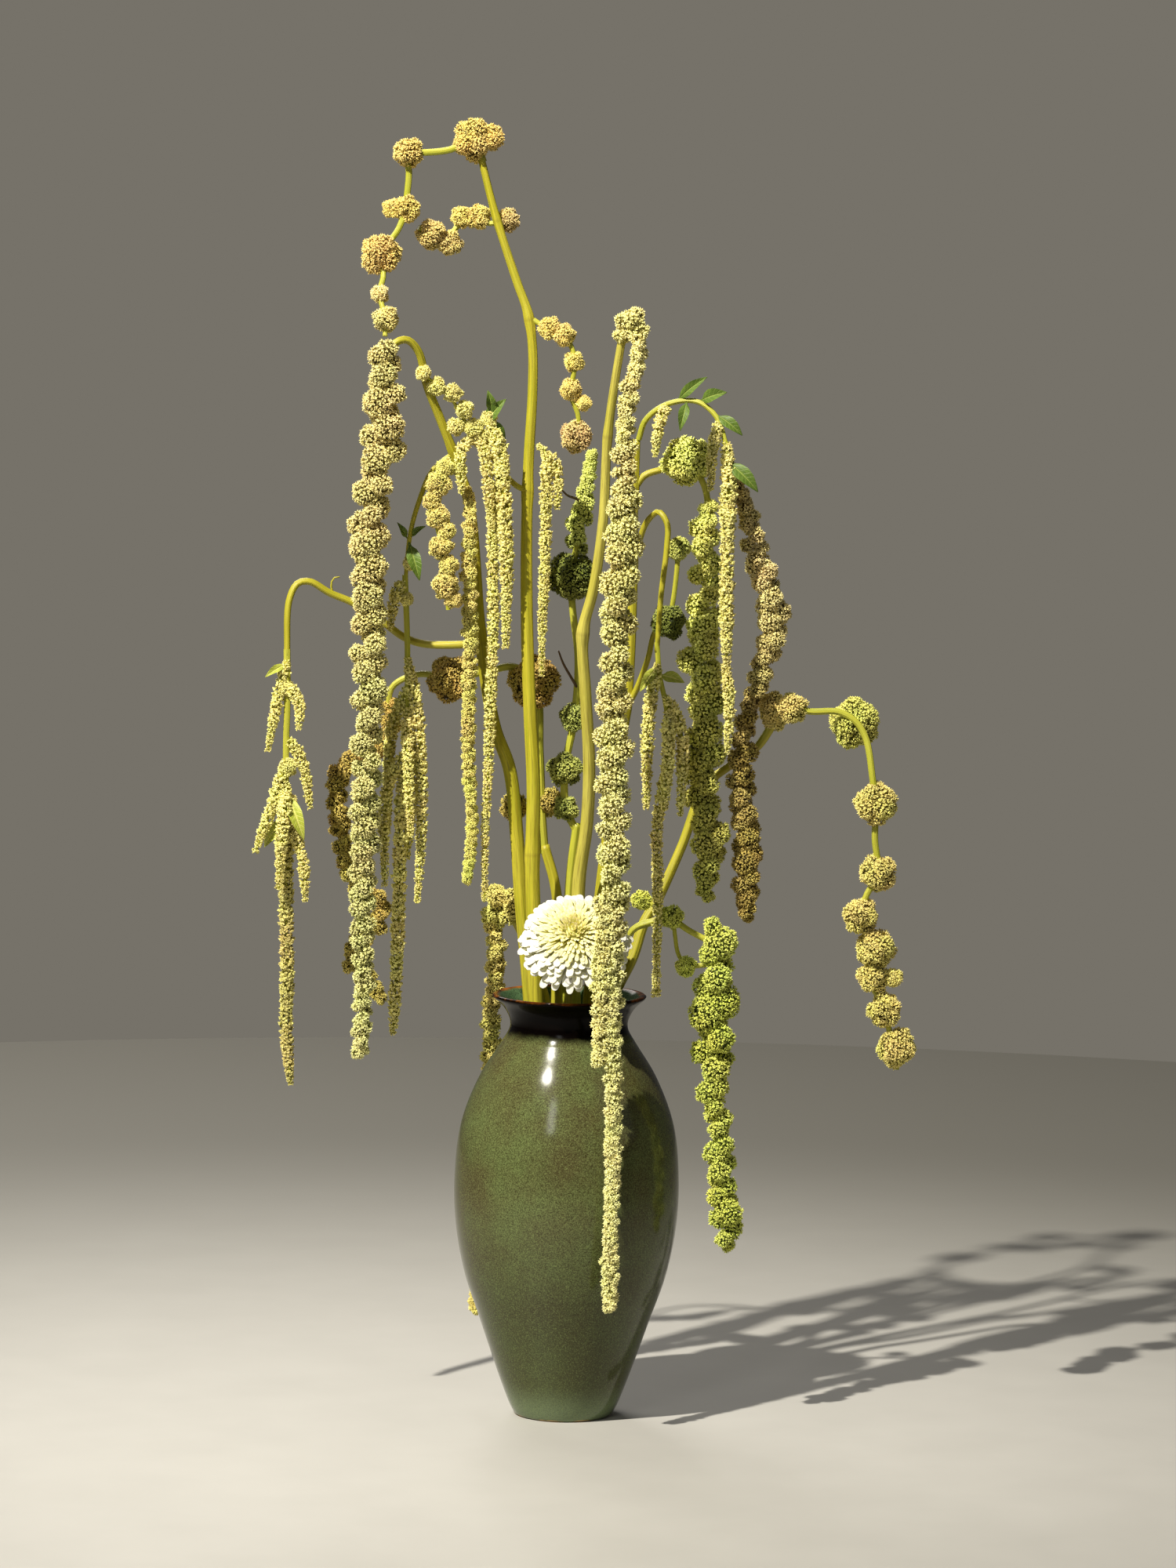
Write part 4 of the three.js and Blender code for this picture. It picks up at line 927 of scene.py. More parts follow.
def shade_cores(clumps):
    """A dark eight-sided ball of 0.72 of the radius in each clump, ringed 20 and 60 degrees up and down; its
    colour is mostly the crease colour, as painted shade.
    """
    ball = rings_round(np.cos(HEART_RISE), np.sin(HEART_RISE), HEART_SIDES)
    rings = clumps[:, None, None, :3] + ball[None] * clumps[:, None, None, 3:4] * HEART_SHARE
    late = np.broadcast_to(clumps[:, 4, None, None], rings.shape[:3])
    return skin(rings, tip=np.zeros(rings.shape[:3]), late=late)


# %% [markdown]
# ## Floret colours
# A head isn't one colour: florets are pale at the tip and deeper at the base, they get painted shade
# at their base and where they sit in a crease, and whole clumps turn from buff to green along the
# tassel. One group does this from the values that each floret carries, and each head's material
# places it with its own five colours.

# %% Floret colour group
FLORET_ZONES = ("Crease shade", "Body", "Tip", "Late body", "Late tip")

floret_colour, given, result = group(
    "floret colour", [(zone, "Color", (0.5, 0.5, 0.5, 1)) for zone in FLORET_ZONES], [("Color", "Color")]
)
late, tip, reach, tint = (carried(floret_colour, name) for name in ("late", "tip", "reach", "tint"))
patch = noise(floret_colour, own_place(floret_colour), 48, 2)
base = mix(floret_colour, late, given["Body"], given["Late body"])
ends = mix(floret_colour, late, given["Tip"], given["Late tip"])
made = mix(floret_colour, rescale(floret_colour, tip, 0.15, 0.8, smooth=True), base, ends)
# painted shade: florets that face into a crease, and the base of every floret, take the crease colour
made = mix(floret_colour, rescale(floret_colour, reach, 0.0, 0.8, 0.6, 0.0), made, given["Crease shade"])
made = mix(floret_colour, rescale(floret_colour, tip, 0.0, 0.35, 0.2, 0.0), made, given["Crease shade"])
hue = rescale(floret_colour, patch, 0.3, 0.7, 0.485, 0.512)
value = rescale(floret_colour, tint, 0, 1, 0.78, 1.2)
varied = node(floret_colour, "HueSaturation", {"Color": made, "Hue": hue, "Value": value})
floret_colour.links.new(varied.outputs[0], result["Color"])
print("floret colour of", len(floret_colour.nodes), "nodes")


# %% Floret materials
def floret_material(name, codes):
    """The shared colour group with this head's own five colours, on a dull surface."""
    made, tree, socket = material(name, Roughness=0.7, Specular_IOR_Level=0.25)
    mixed = use(tree, floret_colour, dict(zip(FLORET_ZONES, map(colour, codes))))
    tree.links.new(mixed["Color"], socket["Base Color"])
    return made


# crease shade (painted shade), body, tip, late body and late tip of each kind of head
TONES = {
    "ochre": ("#4e3c14", "#b0923a", "#ecd27a", "#a89c4c", "#e2d898"),
    "buff": ("#40330f", "#a29046", "#e8da94", "#9aa04c", "#dedd96"),
    "yellow": ("#5a4818", "#bca93c", "#f0e080", "#a08444", "#dcc288"),
    "straw": ("#5c5226", "#bab052", "#eee69a", "#b0b058", "#e8e6a2"),
    "lime": ("#121a04", "#6a791a", "#cbd25c", "#a0a838", "#e6ea80"),
    "mixed": ("#262a06", "#86862a", "#cfcb6a", "#b6bc3c", "#f0f08a"),
    # shaded: its dark body is painted shade for the lower part of a tassel that hung in shade
    "shaded": ("#2e240c", "#6a581e", "#b6a256", "#ac9a4a", "#eadc9a"),
    "khaki": ("#44390f", "#9e8e3e", "#e6d684", "#92982e", "#dcde74"),
    "rust": ("#2a1c08", "#7a6022", "#c6a85c", "#7c7c2a", "#c4ba60"),
    # green: a near-black body and dull tip, painted shade for a ball hanging in deep shade
    "green": ("#0c1203", "#303a0c", "#686e28", "#98a43a", "#e2e882"),
    "catkin": ("#7a7628", "#c6c050", "#f6ee98", "#8c8238", "#c8bc74"),
}
HEADS = {tone: floret_material(tone + "_florets", codes) for tone, codes in TONES.items()}
print("floret materials", len(HEADS))

# %% [markdown]
# ## Hanging heads
# Each head is listed with the lines and balls of its CAD solid. A run is one of three: a tassel with
# widths along it, a set of balls, or a bare line: the thread that carries the balls, or a dry twig.

# %% Routes of the heads
TASSEL_LEFT = [
    (-117, -42, 660), (-116, -42, 638), (-118, -42, 612), (-119, -42, 591), (-124, -42, 565),
    (-126, -42, 537), (-124, -42, 515), (-125, -42, 472), (-125, -42, 422), (-126, -42, 370),
    (-126, -42, 288), (-126, -42, 250), (-127, -42, 228),
]
TASSEL_CENTRE = [
    (26, -68, 664), (28, -73, 680), (33, -76, 678), (36, -77, 660), (34, -77, 646), (30, -77, 634),
    (28, -77, 597), (29, -77, 550), (28, -77, 524), (26, -77, 494), (25, -77, 446), (24, -77, 399),
    (26, -77, 352), (26, -76, 295), (27, -75, 233), (28, -75, 161), (27, -75, 113), (28, -75, 78),
]
TASSEL_LIME = [
    (87, -25, 312), (90, -25, 296), (90, -25, 278), (88, -25, 261), (89, -25, 236), (91, -25, 225),
    (88, -25, 208), (92, -25, 188), (95, -25, 169), (94, -25, 154), (97, -25, 136), (98, -25, 122),
    (101, -25, 109),
]
TASSEL_GREEN = [
    (80, 4, 566), (79, 3, 540), (81, 2, 504), (78, 2, 470), (82, -2, 439), (79, -5, 400), (84, -6, 364),
    (82, -6, 322),
]
TASSEL_BROWN = [
    (96, -8, 586), (103, -2, 562), (111, 0, 534), (119, 2, 512), (123, 3, 490), (116, 3, 466), (109, 4, 445),
    (105, 5, 420), (104, 6, 393), (107, 6, 364), (109, 6, 340), (108, 6, 309),
]
TASSEL_BACK = [
    (-114, 19, 440), (-115, 19, 418), (-127, 20, 407), (-141, 20, 400), (-146, 20, 388), (-144, 20, 365),
    (-140, 20, 340), (-132, 20, 325), (-120, 20, 318), (-118, 20, 304), (-130, 20, 291), (-136, 20, 278),
    (-124, 20, 266), (-116, 20, 253),
]
TRAILING = [
    (-36, 24, 304), (-38, 24, 316), (-44, 29, 320), (-48, 35, 304), (-47, 38, 286), (-46, 42, 268),
    (-49, 47, 248), (-49, 52, 227), (-50, 59, 188), (-51, 64, 145), (-54, 60, 100), (-57, 54, 52),
]
FADE = [(0, 0.05), (0.3, 0.15), (0.6, 0.75), (1, 0.85)]
EVEN = [(0, 0.35), (1, 0.35)]

# name: (colour, knob radius, floret size, runs); a run is ("tassel", points, widths, late),
# ("balls", late, balls), or ("thread" or "twig", points, first radius, last radius)
HEAD_RUNS = {
    "beads_top": ("ochre", 2.5, 1.8, [
        ("thread", [(-60, -8, 771), (-66, -8, 784), (-80, -8, 778), (-96, -8, 776), (-106, -8, 776),
                    (-105, -8, 764), (-106, -9, 750), (-107, -10, 741), (-111, -15, 729), (-121, -22, 714),
                    (-119, -28, 701), (-121, -34, 691), (-117, -40, 675), (-117, -43, 665)], 2.1, 1.5),
        ("balls", 0.1, [((-66, -8, 784), 14), ((-56, -8, 786), 9), ((-106, -8, 776), 10),
                        ((-106, -9, 742), 9), ((-115, -10, 742), 6), ((-121, -22, 714), 13.5)]),
        ("balls", 0.75, [((-121, -34, 690), 5.5), ((-117, -40, 675), 8.5)]),
    ]),
    "beads_side": ("yellow", 2.4, 1.75, [
        ("thread", [(-99, -2, 731), (-91, 1, 727), (-81, 3, 726), (-73, 4, 735), (-65, 4, 737), (-56, 2, 734),
                    (-45, -1, 736), (-38, -2, 736)], 1.8, 1.6),
        ("balls", 0.7, [((-91, 1, 727), 10.5), ((-80, 3, 722), 8.5)]),
        ("balls", 0.1, [((-73, 4, 738), 7.5), ((-63, 4, 738), 8.5)]),
        ("balls", 0.8, [((-45, -1, 736), 8)]),
    ]),
    "cluster_right": ("yellow", 2.4, 1.75, [
        ("thread", [(-28, -11, 676), (-20, -13, 671), (-9, -16, 666), (-4, -17, 658), (-3, -18, 645),
                    (-5, -18, 632), (0, -18, 618), (-1, -18, 604), (-1, -18, 596)], 1.6, 1.4),
        ("balls", 0.2, [((-18, -13, 671), 7.5), ((-9, -16, 667), 7.5), ((-3, -17, 651), 6.5),
                        ((-5, -18, 634), 7), ((3, -18, 626), 4.5)]),
        ("balls", 0.9, [((-1, -18, 606), 11)]),
    ]),
    "tassel_left": ("buff", 2.9, 1.9, [
        ("tassel", TASSEL_LEFT, [(0, 9), (0.06, 12.5), (0.16, 15.5), (0.24, 13), (0.5, 11.5), (0.7, 10),
                                 (0.85, 8), (0.96, 6.5), (1, 4.5)], FADE),
    ]),
    "tassel_centre": ("straw", 3.2, 2.05, [
        ("tassel", TASSEL_CENTRE, [(0, 5), (0.03, 8.5), (0.06, 5.5), (0.09, 4.2), (0.115, 7), (0.14, 5),
                                   (0.165, 8.5), (0.19, 7), (0.22, 11.5), (0.3, 12.3), (0.4, 12),
                                   (0.55, 11), (0.6, 10.2), (0.645, 7.6), (0.7, 6.3), (0.75, 5.6),
                                   (0.84, 4.8), (0.92, 4.0), (0.965, 5.4), (1, 3.4)], FADE),
        ("tassel", [(20, -77, 330), (19, -77, 275), (19, -76, 230)], [(0, 6), (0.6, 6), (1, 4.4)], EVEN),
    ]),
    "tassel_lime": ("lime", 2.9, 1.9, [
        ("tassel", TASSEL_LIME, [(0, 9), (0.07, 14), (0.3, 16.5), (0.38, 15), (0.45, 10.5), (0.6, 9.5),
                                 (0.72, 11.5), (0.85, 10), (0.93, 13), (1, 6)], EVEN),
        ("thread", [(70, -25, 283), (88, -25, 285)], 1.6, 1.6),
        ("balls", 0.4, [((71, -25, 283), 6.5)]),
    ]),
    "cluster_low": ("lime", 2.4, 1.7, [
        ("thread", [(70, -24, 284), (66, -22, 291), (64, -23, 302), (62, -23, 313), (54, -21, 318),
                    (42, -18, 324)], 1.3, 1.1),
        ("balls", 0.3, [((62, -23, 313), 8), ((43, -18, 323), 6.5)]),
    ]),
    "tassel_green": ("mixed", 3.0, 2.0, [
        ("thread", [(50, 6, 586), (67, 5, 591), (77, 5, 578), (80, 4, 566), (79, 3, 550)], 2, 1.9),
        ("balls", 1.0, [((67, 5, 591), 17)]),
        # painted shade: the late share falls towards the lower end, which then takes the darker body of the
        # mixed colours
        ("tassel", TASSEL_GREEN, [(0, 5), (0.08, 11), (0.2, 13), (0.4, 14.5), (0.52, 12), (0.6, 14),
                                  (0.75, 13.5), (0.9, 11.5), (1, 6)],
         [(0, 1), (0.4, 0.9), (0.6, 0.4), (0.75, 0.1), (1, 0.1)]),
    ]),
    "tassel_brown": ("shaded", 2.6, 1.8, [
        # painted shade: from the middle down the late share is 0, so the lower tassel takes the shaded
        # palette's dark body
        ("tassel", TASSEL_BROWN, [(0, 3), (0.08, 6.5), (0.2, 10.5), (0.35, 11), (0.45, 8.5), (0.52, 7),
                                  (0.65, 10), (0.8, 10.5), (0.92, 10), (1, 5)],
         [(0, 0.4), (0.2, 1), (0.38, 1), (0.5, 0.3), (0.6, 0), (1, 0)]),
    ]),
    "beads_khaki": ("khaki", 2.6, 1.8, [
        ("thread", [(112, 21, 413), (119, 19, 424), (124, 17, 434), (134, 14, 440), (146, 13, 438),
                    (163, 14, 438), (173, 13, 433), (180, 12, 423), (185, 8, 396), (187, 8, 382),
                    (187, 8, 360), (189, 8, 339), (182, 8, 324), (179, 8, 311), (189, 8, 292),
                    (185, 8, 273), (195, 8, 256), (199, 8, 238), (203, 8, 228), (203, 8, 217)], 2.1, 1.8),
        ("thread", [(173, 14, 433), (174, 27, 430)], 1.8, 1.6),
        ("balls", 0.2, [((124, 18, 433), 8.5), ((122, 17, 441), 10), ((134, 14, 440), 10.5),
                        ((187, 8, 382), 14.5), ((189, 8, 339), 12.5), ((179, 8, 312), 12.5),
                        ((189, 8, 292), 13.5), ((187, 8, 274), 11), ((200, 8, 274), 6), ((195, 8, 254), 12),
                        ((203, 8, 230), 13.5)]),
        ("balls", 0.9, [((174, 28, 430), 17)]),
    ]),
    "tassel_back": ("rust", 2.6, 1.8, [
        ("thread", [(-17, 18, 347), (-19, 19, 370), (-21, 21, 409), (-25, 22, 453), (-38, 21, 462),
                    (-55, 18, 459), (-76, 16, 455), (-96, 16, 457), (-112, 18, 449),
                    (-115, 19, 436)], 2.8, 1.8),
        ("balls", 0.25, [((-25, 22, 453), 18), ((-76, 16, 455), 16)]),
        ("balls", 0.6, [((-36, 19, 375), 9.5), ((-13, 20, 379), 9.5)]),
        ("tassel", TASSEL_BACK, [(0, 5), (0.1, 8), (0.3, 7.5), (0.5, 7), (0.7, 7.5), (0.9, 7), (1, 4)],
         [(0, 0.1), (0.4, 0.4), (1, 0.9)]),
    ]),
    "head_ball": ("green", 2.6, 1.8, [
        ("thread", [(3, 10, 361), (-4, 10, 376), (-5, 12, 400), (0, 13, 430), (2, 16, 468), (-2, 17, 500),
                    (-3, 18, 519), (1, 18, 541)], 2.4, 2),
        ("twig", [(2, 14, 450), (-2, 9, 457), (-7, 4, 466), (-10, 0, 474)], 0.9, 0.5),
        ("twig", [(4, 17, 564), (-1, 10, 567), (-6, 4, 569), (-10, 0, 573)], 0.9, 0.5),
        ("balls", 0.4, [((-4, 9, 376), 8.5), ((-5, 12, 400), 12), ((1, 13, 432), 10.5)]),
        # painted shade: late 0 gives this ball the green palette's near-black body
        ("balls", 0.0, [((-3, 18, 519), 17)]),
        ("tassel", [(0, 18, 534), (2, 18, 552), (5, 18, 568), (9, 18, 596)],
         [(0, 7), (0.4, 9), (0.6, 7), (0.8, 3.5), (1, 2.5)], [(0, 0.6), (0.4, 1), (1, 1)]),
    ]),
    "beads_trailing": ("khaki", 2.5, 1.8, [
        ("tassel", TRAILING, [(0, 9), (0.05, 12), (0.12, 9), (0.16, 6), (0.2, 7.5), (0.3, 6), (0.9, 5.4),
                              (1, 3)], EVEN),
    ]),
    "catkins_lumpy": ("khaki", 2.1, 1.6, [
        ("thread", [(-80, -27, 585), (-84, -29, 575), (-85, -30, 553), (-81, -32, 538), (-78, -34, 515),
                    (-77, -34, 500)], 1.4, 1.4),
        ("balls", 0.2, [((-80, -28, 586), 6), ((-84, -29, 576), 8.5), ((-88, -30, 566), 6),
                        ((-84, -30, 556), 8), ((-79, -31, 548), 6), ((-82, -32, 538), 8),
                        ((-77, -33, 527), 6.5), ((-79, -34, 515), 9), ((-74, -34, 506), 5.5)]),
    ]),
    "catkins_arch": ("khaki", 2.0, 1.6, [
        ("tassel", [(-67, -12, 573), (-65, -19, 563), (-65, -22, 550), (-65, -22, 520), (-64, -22, 489),
                    (-64, -22, 450), (-64, -22, 412), (-61, -22, 364), (-64, -22, 332)],
         [(0, 2.2), (0.12, 5), (0.35, 5.6), (0.52, 4.6), (0.7, 4), (0.95, 3.4), (1, 2)],
         [(0, 0.1), (1, 0.7)]),
    ]),
    "ball_inner": ("green", 2.5, 1.7, [
        ("thread", [(62, -10, 545), (62, -9, 530), (60, -8, 508), (57, -8, 490), (57, -8, 486)], 1.5, 1.5),
        ("balls", 0.8, [((62, -9, 538), 8.5)]),
        ("balls", 0.1, [((57, -8, 493), 12)]),
    ]),
}
print("heads", len(HEAD_RUNS))

# %% Make the heads
# florets on each knob before the hidden ones are dropped, and the heads whose count differs
CROWD = 19
CROWDS = {"tassel_centre": 16}

for name, (tone, knob, floret, runs) in HEAD_RUNS.items():
    clumps, parts = [], []
    for kind, first, *rest in runs:
        if kind == "tassel":
            clumps.append(tassel_clumps(first, *rest))
        elif kind == "balls":
            clumps.append(ball_clumps(rest[0], late=first))
        else:
            parts.append(stalk(first, *rest, sides=10, ribs=0.03, paint=2 if kind == "twig" else 1))
    clumps = np.vstack(clumps)
    florets, knobs = floret_parts(clumps, knob, floret, CROWDS.get(name, CROWD))
    parts += [florets, shade_cores(clumps)]
    cad_name = name.replace("centre", "center")
    build(name + "_flowers", parts, [HEADS[tone], STEM_SOFT, STEM_DRY], [cad_name], smooth=False)
    print("   ", len(clumps), "clumps", knobs, "knobs")

# %% [markdown]
# ## Leafy shoots with catkins
# The side shoots carry thin catkins: a pale thread with pointed buds in tiers, each tier turned
# against the one below. Buds are set straight on the thread, because here the single buds show.

# %% Buds in tiers along a thread
CATKIN_WIDTHS = [(0, 2.4), (0.12, 4.3), (0.6, 3.9), (1, 2.2)]
FIRST_TIER = 0.8  # mm from the start
BUD_DEPTH = (0.35, 0.68)  # how far out a bud starts, as a share of the catkin's radius
BUD_DROOP = (0.25, 1.0)  # how much it points towards the end
BUD_SHIFT = (-0.9, 0.9)  # mm along the thread
BUD_SIZE = (0.36, 0.53)  # of the catkin's radius


def catkin(points, widths=CATKIN_WIDTHS, widest=1.0, late=0.2, tier=1.12, around=9):
    """A thread, and buds at angle golden x row + share of a turn, pointing out and towards the end."""
    line, along = spline(points, 1.0)
    heading, side, other = frames(line)
    row = np.round(np.arange(FIRST_TIER, along[-1], tier)).astype(int).clip(0, len(line) - 1)
    reach = between(widths, along[row] / along[-1]) * widest * rng.uniform(0.85, 1.12, len(row))
    turn = (np.arange(len(row)) * GOLDEN)[:, None] + np.arange(around) * 2 * math.pi / around
    turn = (turn + rng.uniform(-0.3, 0.3, turn.shape))[..., None]
    out = np.cos(turn) * side[row][:, None] + np.sin(turn) * other[row][:, None]
    facing = unit(out + rng.uniform(*BUD_DROOP, turn.shape) * heading[row][:, None]).reshape(-1, 3)
    share = rng.uniform(*BUD_DEPTH, turn.shape) * reach[:, None, None]
    places = line[row][:, None] + out * share + rng.uniform(*BUD_SHIFT, turn.shape) * heading[row][:, None]
    size = np.repeat(reach, around) * rng.uniform(*BUD_SIZE, len(facing))
    late = np.clip(rng.normal(late, 0.25, len(facing)), 0, 1)
    buds = plant("blunt", places.reshape(-1, 3), facing, size, reach=np.full(len(facing), 0.8), late=late)
    taper = 0.3 * float(reach.mean())
    return [buds, stalk(points, taper, taper * 0.6, sides=6, ribs=0, paint=1)]


# %% [markdown]
# Leaves and petals are the same kind of thing: a thin closed blade. A ring round the blade is a flat
# lens, which a cosine spreads to the half-width, and the middle line arches and folds. Thickness is
# real, so each blade is closed and can be lit from either side.

# %% Blades for leaves and petals
def blades(start, end, up, widths, half, arch=0.1, fold=0.2, wave=0.0, thick=0.4, rows=14, sides=16,
           paint=0, grooves=0.0, curl=0.0):
    """Blades from start to end points, shaped (copies, 3), each with its own up direction.

    centre(t) = start + t (end - start) + up x length x (arch sin(pi t) - curl t^2); half-width from
    widths(t) x half; height of an edge point = fold |x| width + wave sin(7 t) x^2 + grooves cos(3 pi x).
    """
    start, end, up = (np.atleast_2d(np.asarray(v, float)) for v in (start, end, up))
    half, arch, fold, wave, curl = (np.reshape(v, (-1, 1, 1)) for v in (half, arch, fold, wave, curl))
    run = end - start
    length = np.linalg.norm(run, axis=-1, keepdims=True)
    along = run / length
    length = length[:, :, None]
    up = unit(up - (up * along).sum(-1, keepdims=True) * along)
    across = np.cross(up, along)
    t = np.sin(np.linspace(0, math.pi / 2, rows))[None, :, None]
    angle = turns(sides)[None, None]
    x = np.cos(angle)
    width = between(widths, t) * half
    wavy = wave * np.sin(7 * t + 3 * np.sign(x)) * x**2
    lift = fold * np.abs(x) * width + wavy + grooves * np.cos(3 * math.pi * x) * (1 - x**4)
    lift = lift - 0.5 * thick * np.sin(angle) * np.minimum(1, width / 1.2)
    rise = length * (arch * np.sin(math.pi * t) - curl * t**2)
    place = start[:, None, None] + (t * np.ones_like(x))[..., None] * run[:, None, None]
    sideways = (x * width)[..., None] * across[:, None, None]
    rings = place + sideways + (lift + rise)[..., None] * up[:, None, None]
    shape = rings.shape[:3]
    grain = np.stack(np.broadcast_arrays(x, np.abs(x), t * length * MM), axis=-1)
    tint = np.broadcast_to(rng.random((shape[0], 1, 1)), shape)
    return skin(rings, paint=paint, grain=grain, along=np.broadcast_to(t, shape), tint=tint)


# %% Leaf material
VEIN_SLANT = 0.0035
VEINS_PER_METRE = 2200.0


def leaf_material(name, dark, light, vein):
    """Streaky green between a midrib and slanted side veins, which the bump raises a little."""
    made, tree, socket = material(name, Roughness=0.5, Specular_IOR_Level=0.3)
    parted = node(tree, "SeparateXYZ", {"Vector": carried(tree, "grain", "Vector")}).outputs
    marks = use(tree, streaks, {"Round": 2.5, "Along": 120.0, "Contrast": 0.2})
    base = mix(tree, marks["Streak"], colour(dark), colour(light))
    slanted = calc(tree, "ADD", parted["Z"], calc(tree, "MULTIPLY", parted["Y"], -VEIN_SLANT))
    side_veins = calc(tree, "SINE", calc(tree, "MULTIPLY", slanted, VEINS_PER_METRE))
    midrib = rescale(tree, parted["Y"], 0.16, 0.04)
    veins = calc(tree, "MAXIMUM", rescale(tree, side_veins, 0.75, 1.0, 0.0, 0.5), midrib)
    tree.links.new(mix(tree, veins, base, colour(vein)), socket["Base Color"])
    bump(tree, socket, veins, 0.5, 0.0005)
    return made


LEAF_GREEN = leaf_material("leaf", "#3f5518", "#5e762a", "#7f8f42")
LEAF_YOUNG = leaf_material("young_leaf", "#7f8c26", "#b4b84a", "#ccc870")
LEAVES = {"far_left_spray": LEAF_YOUNG, "inner_spray": LEAF_YOUNG}
print("leaf materials", LEAF_GREEN.name, LEAF_YOUNG.name)

# %% [markdown]
# Each shoot lists its own bare stalk, its long middle spike, the catkins and the leaves, at the
# places of the CAD solid.

# %% Routes of the shoots
LEAF_WIDTHS = [(0, 0.12), (0.1, 0.16), (0.22, 0.7), (0.42, 1.0), (0.68, 0.78), (0.88, 0.36), (1, 0.05)]

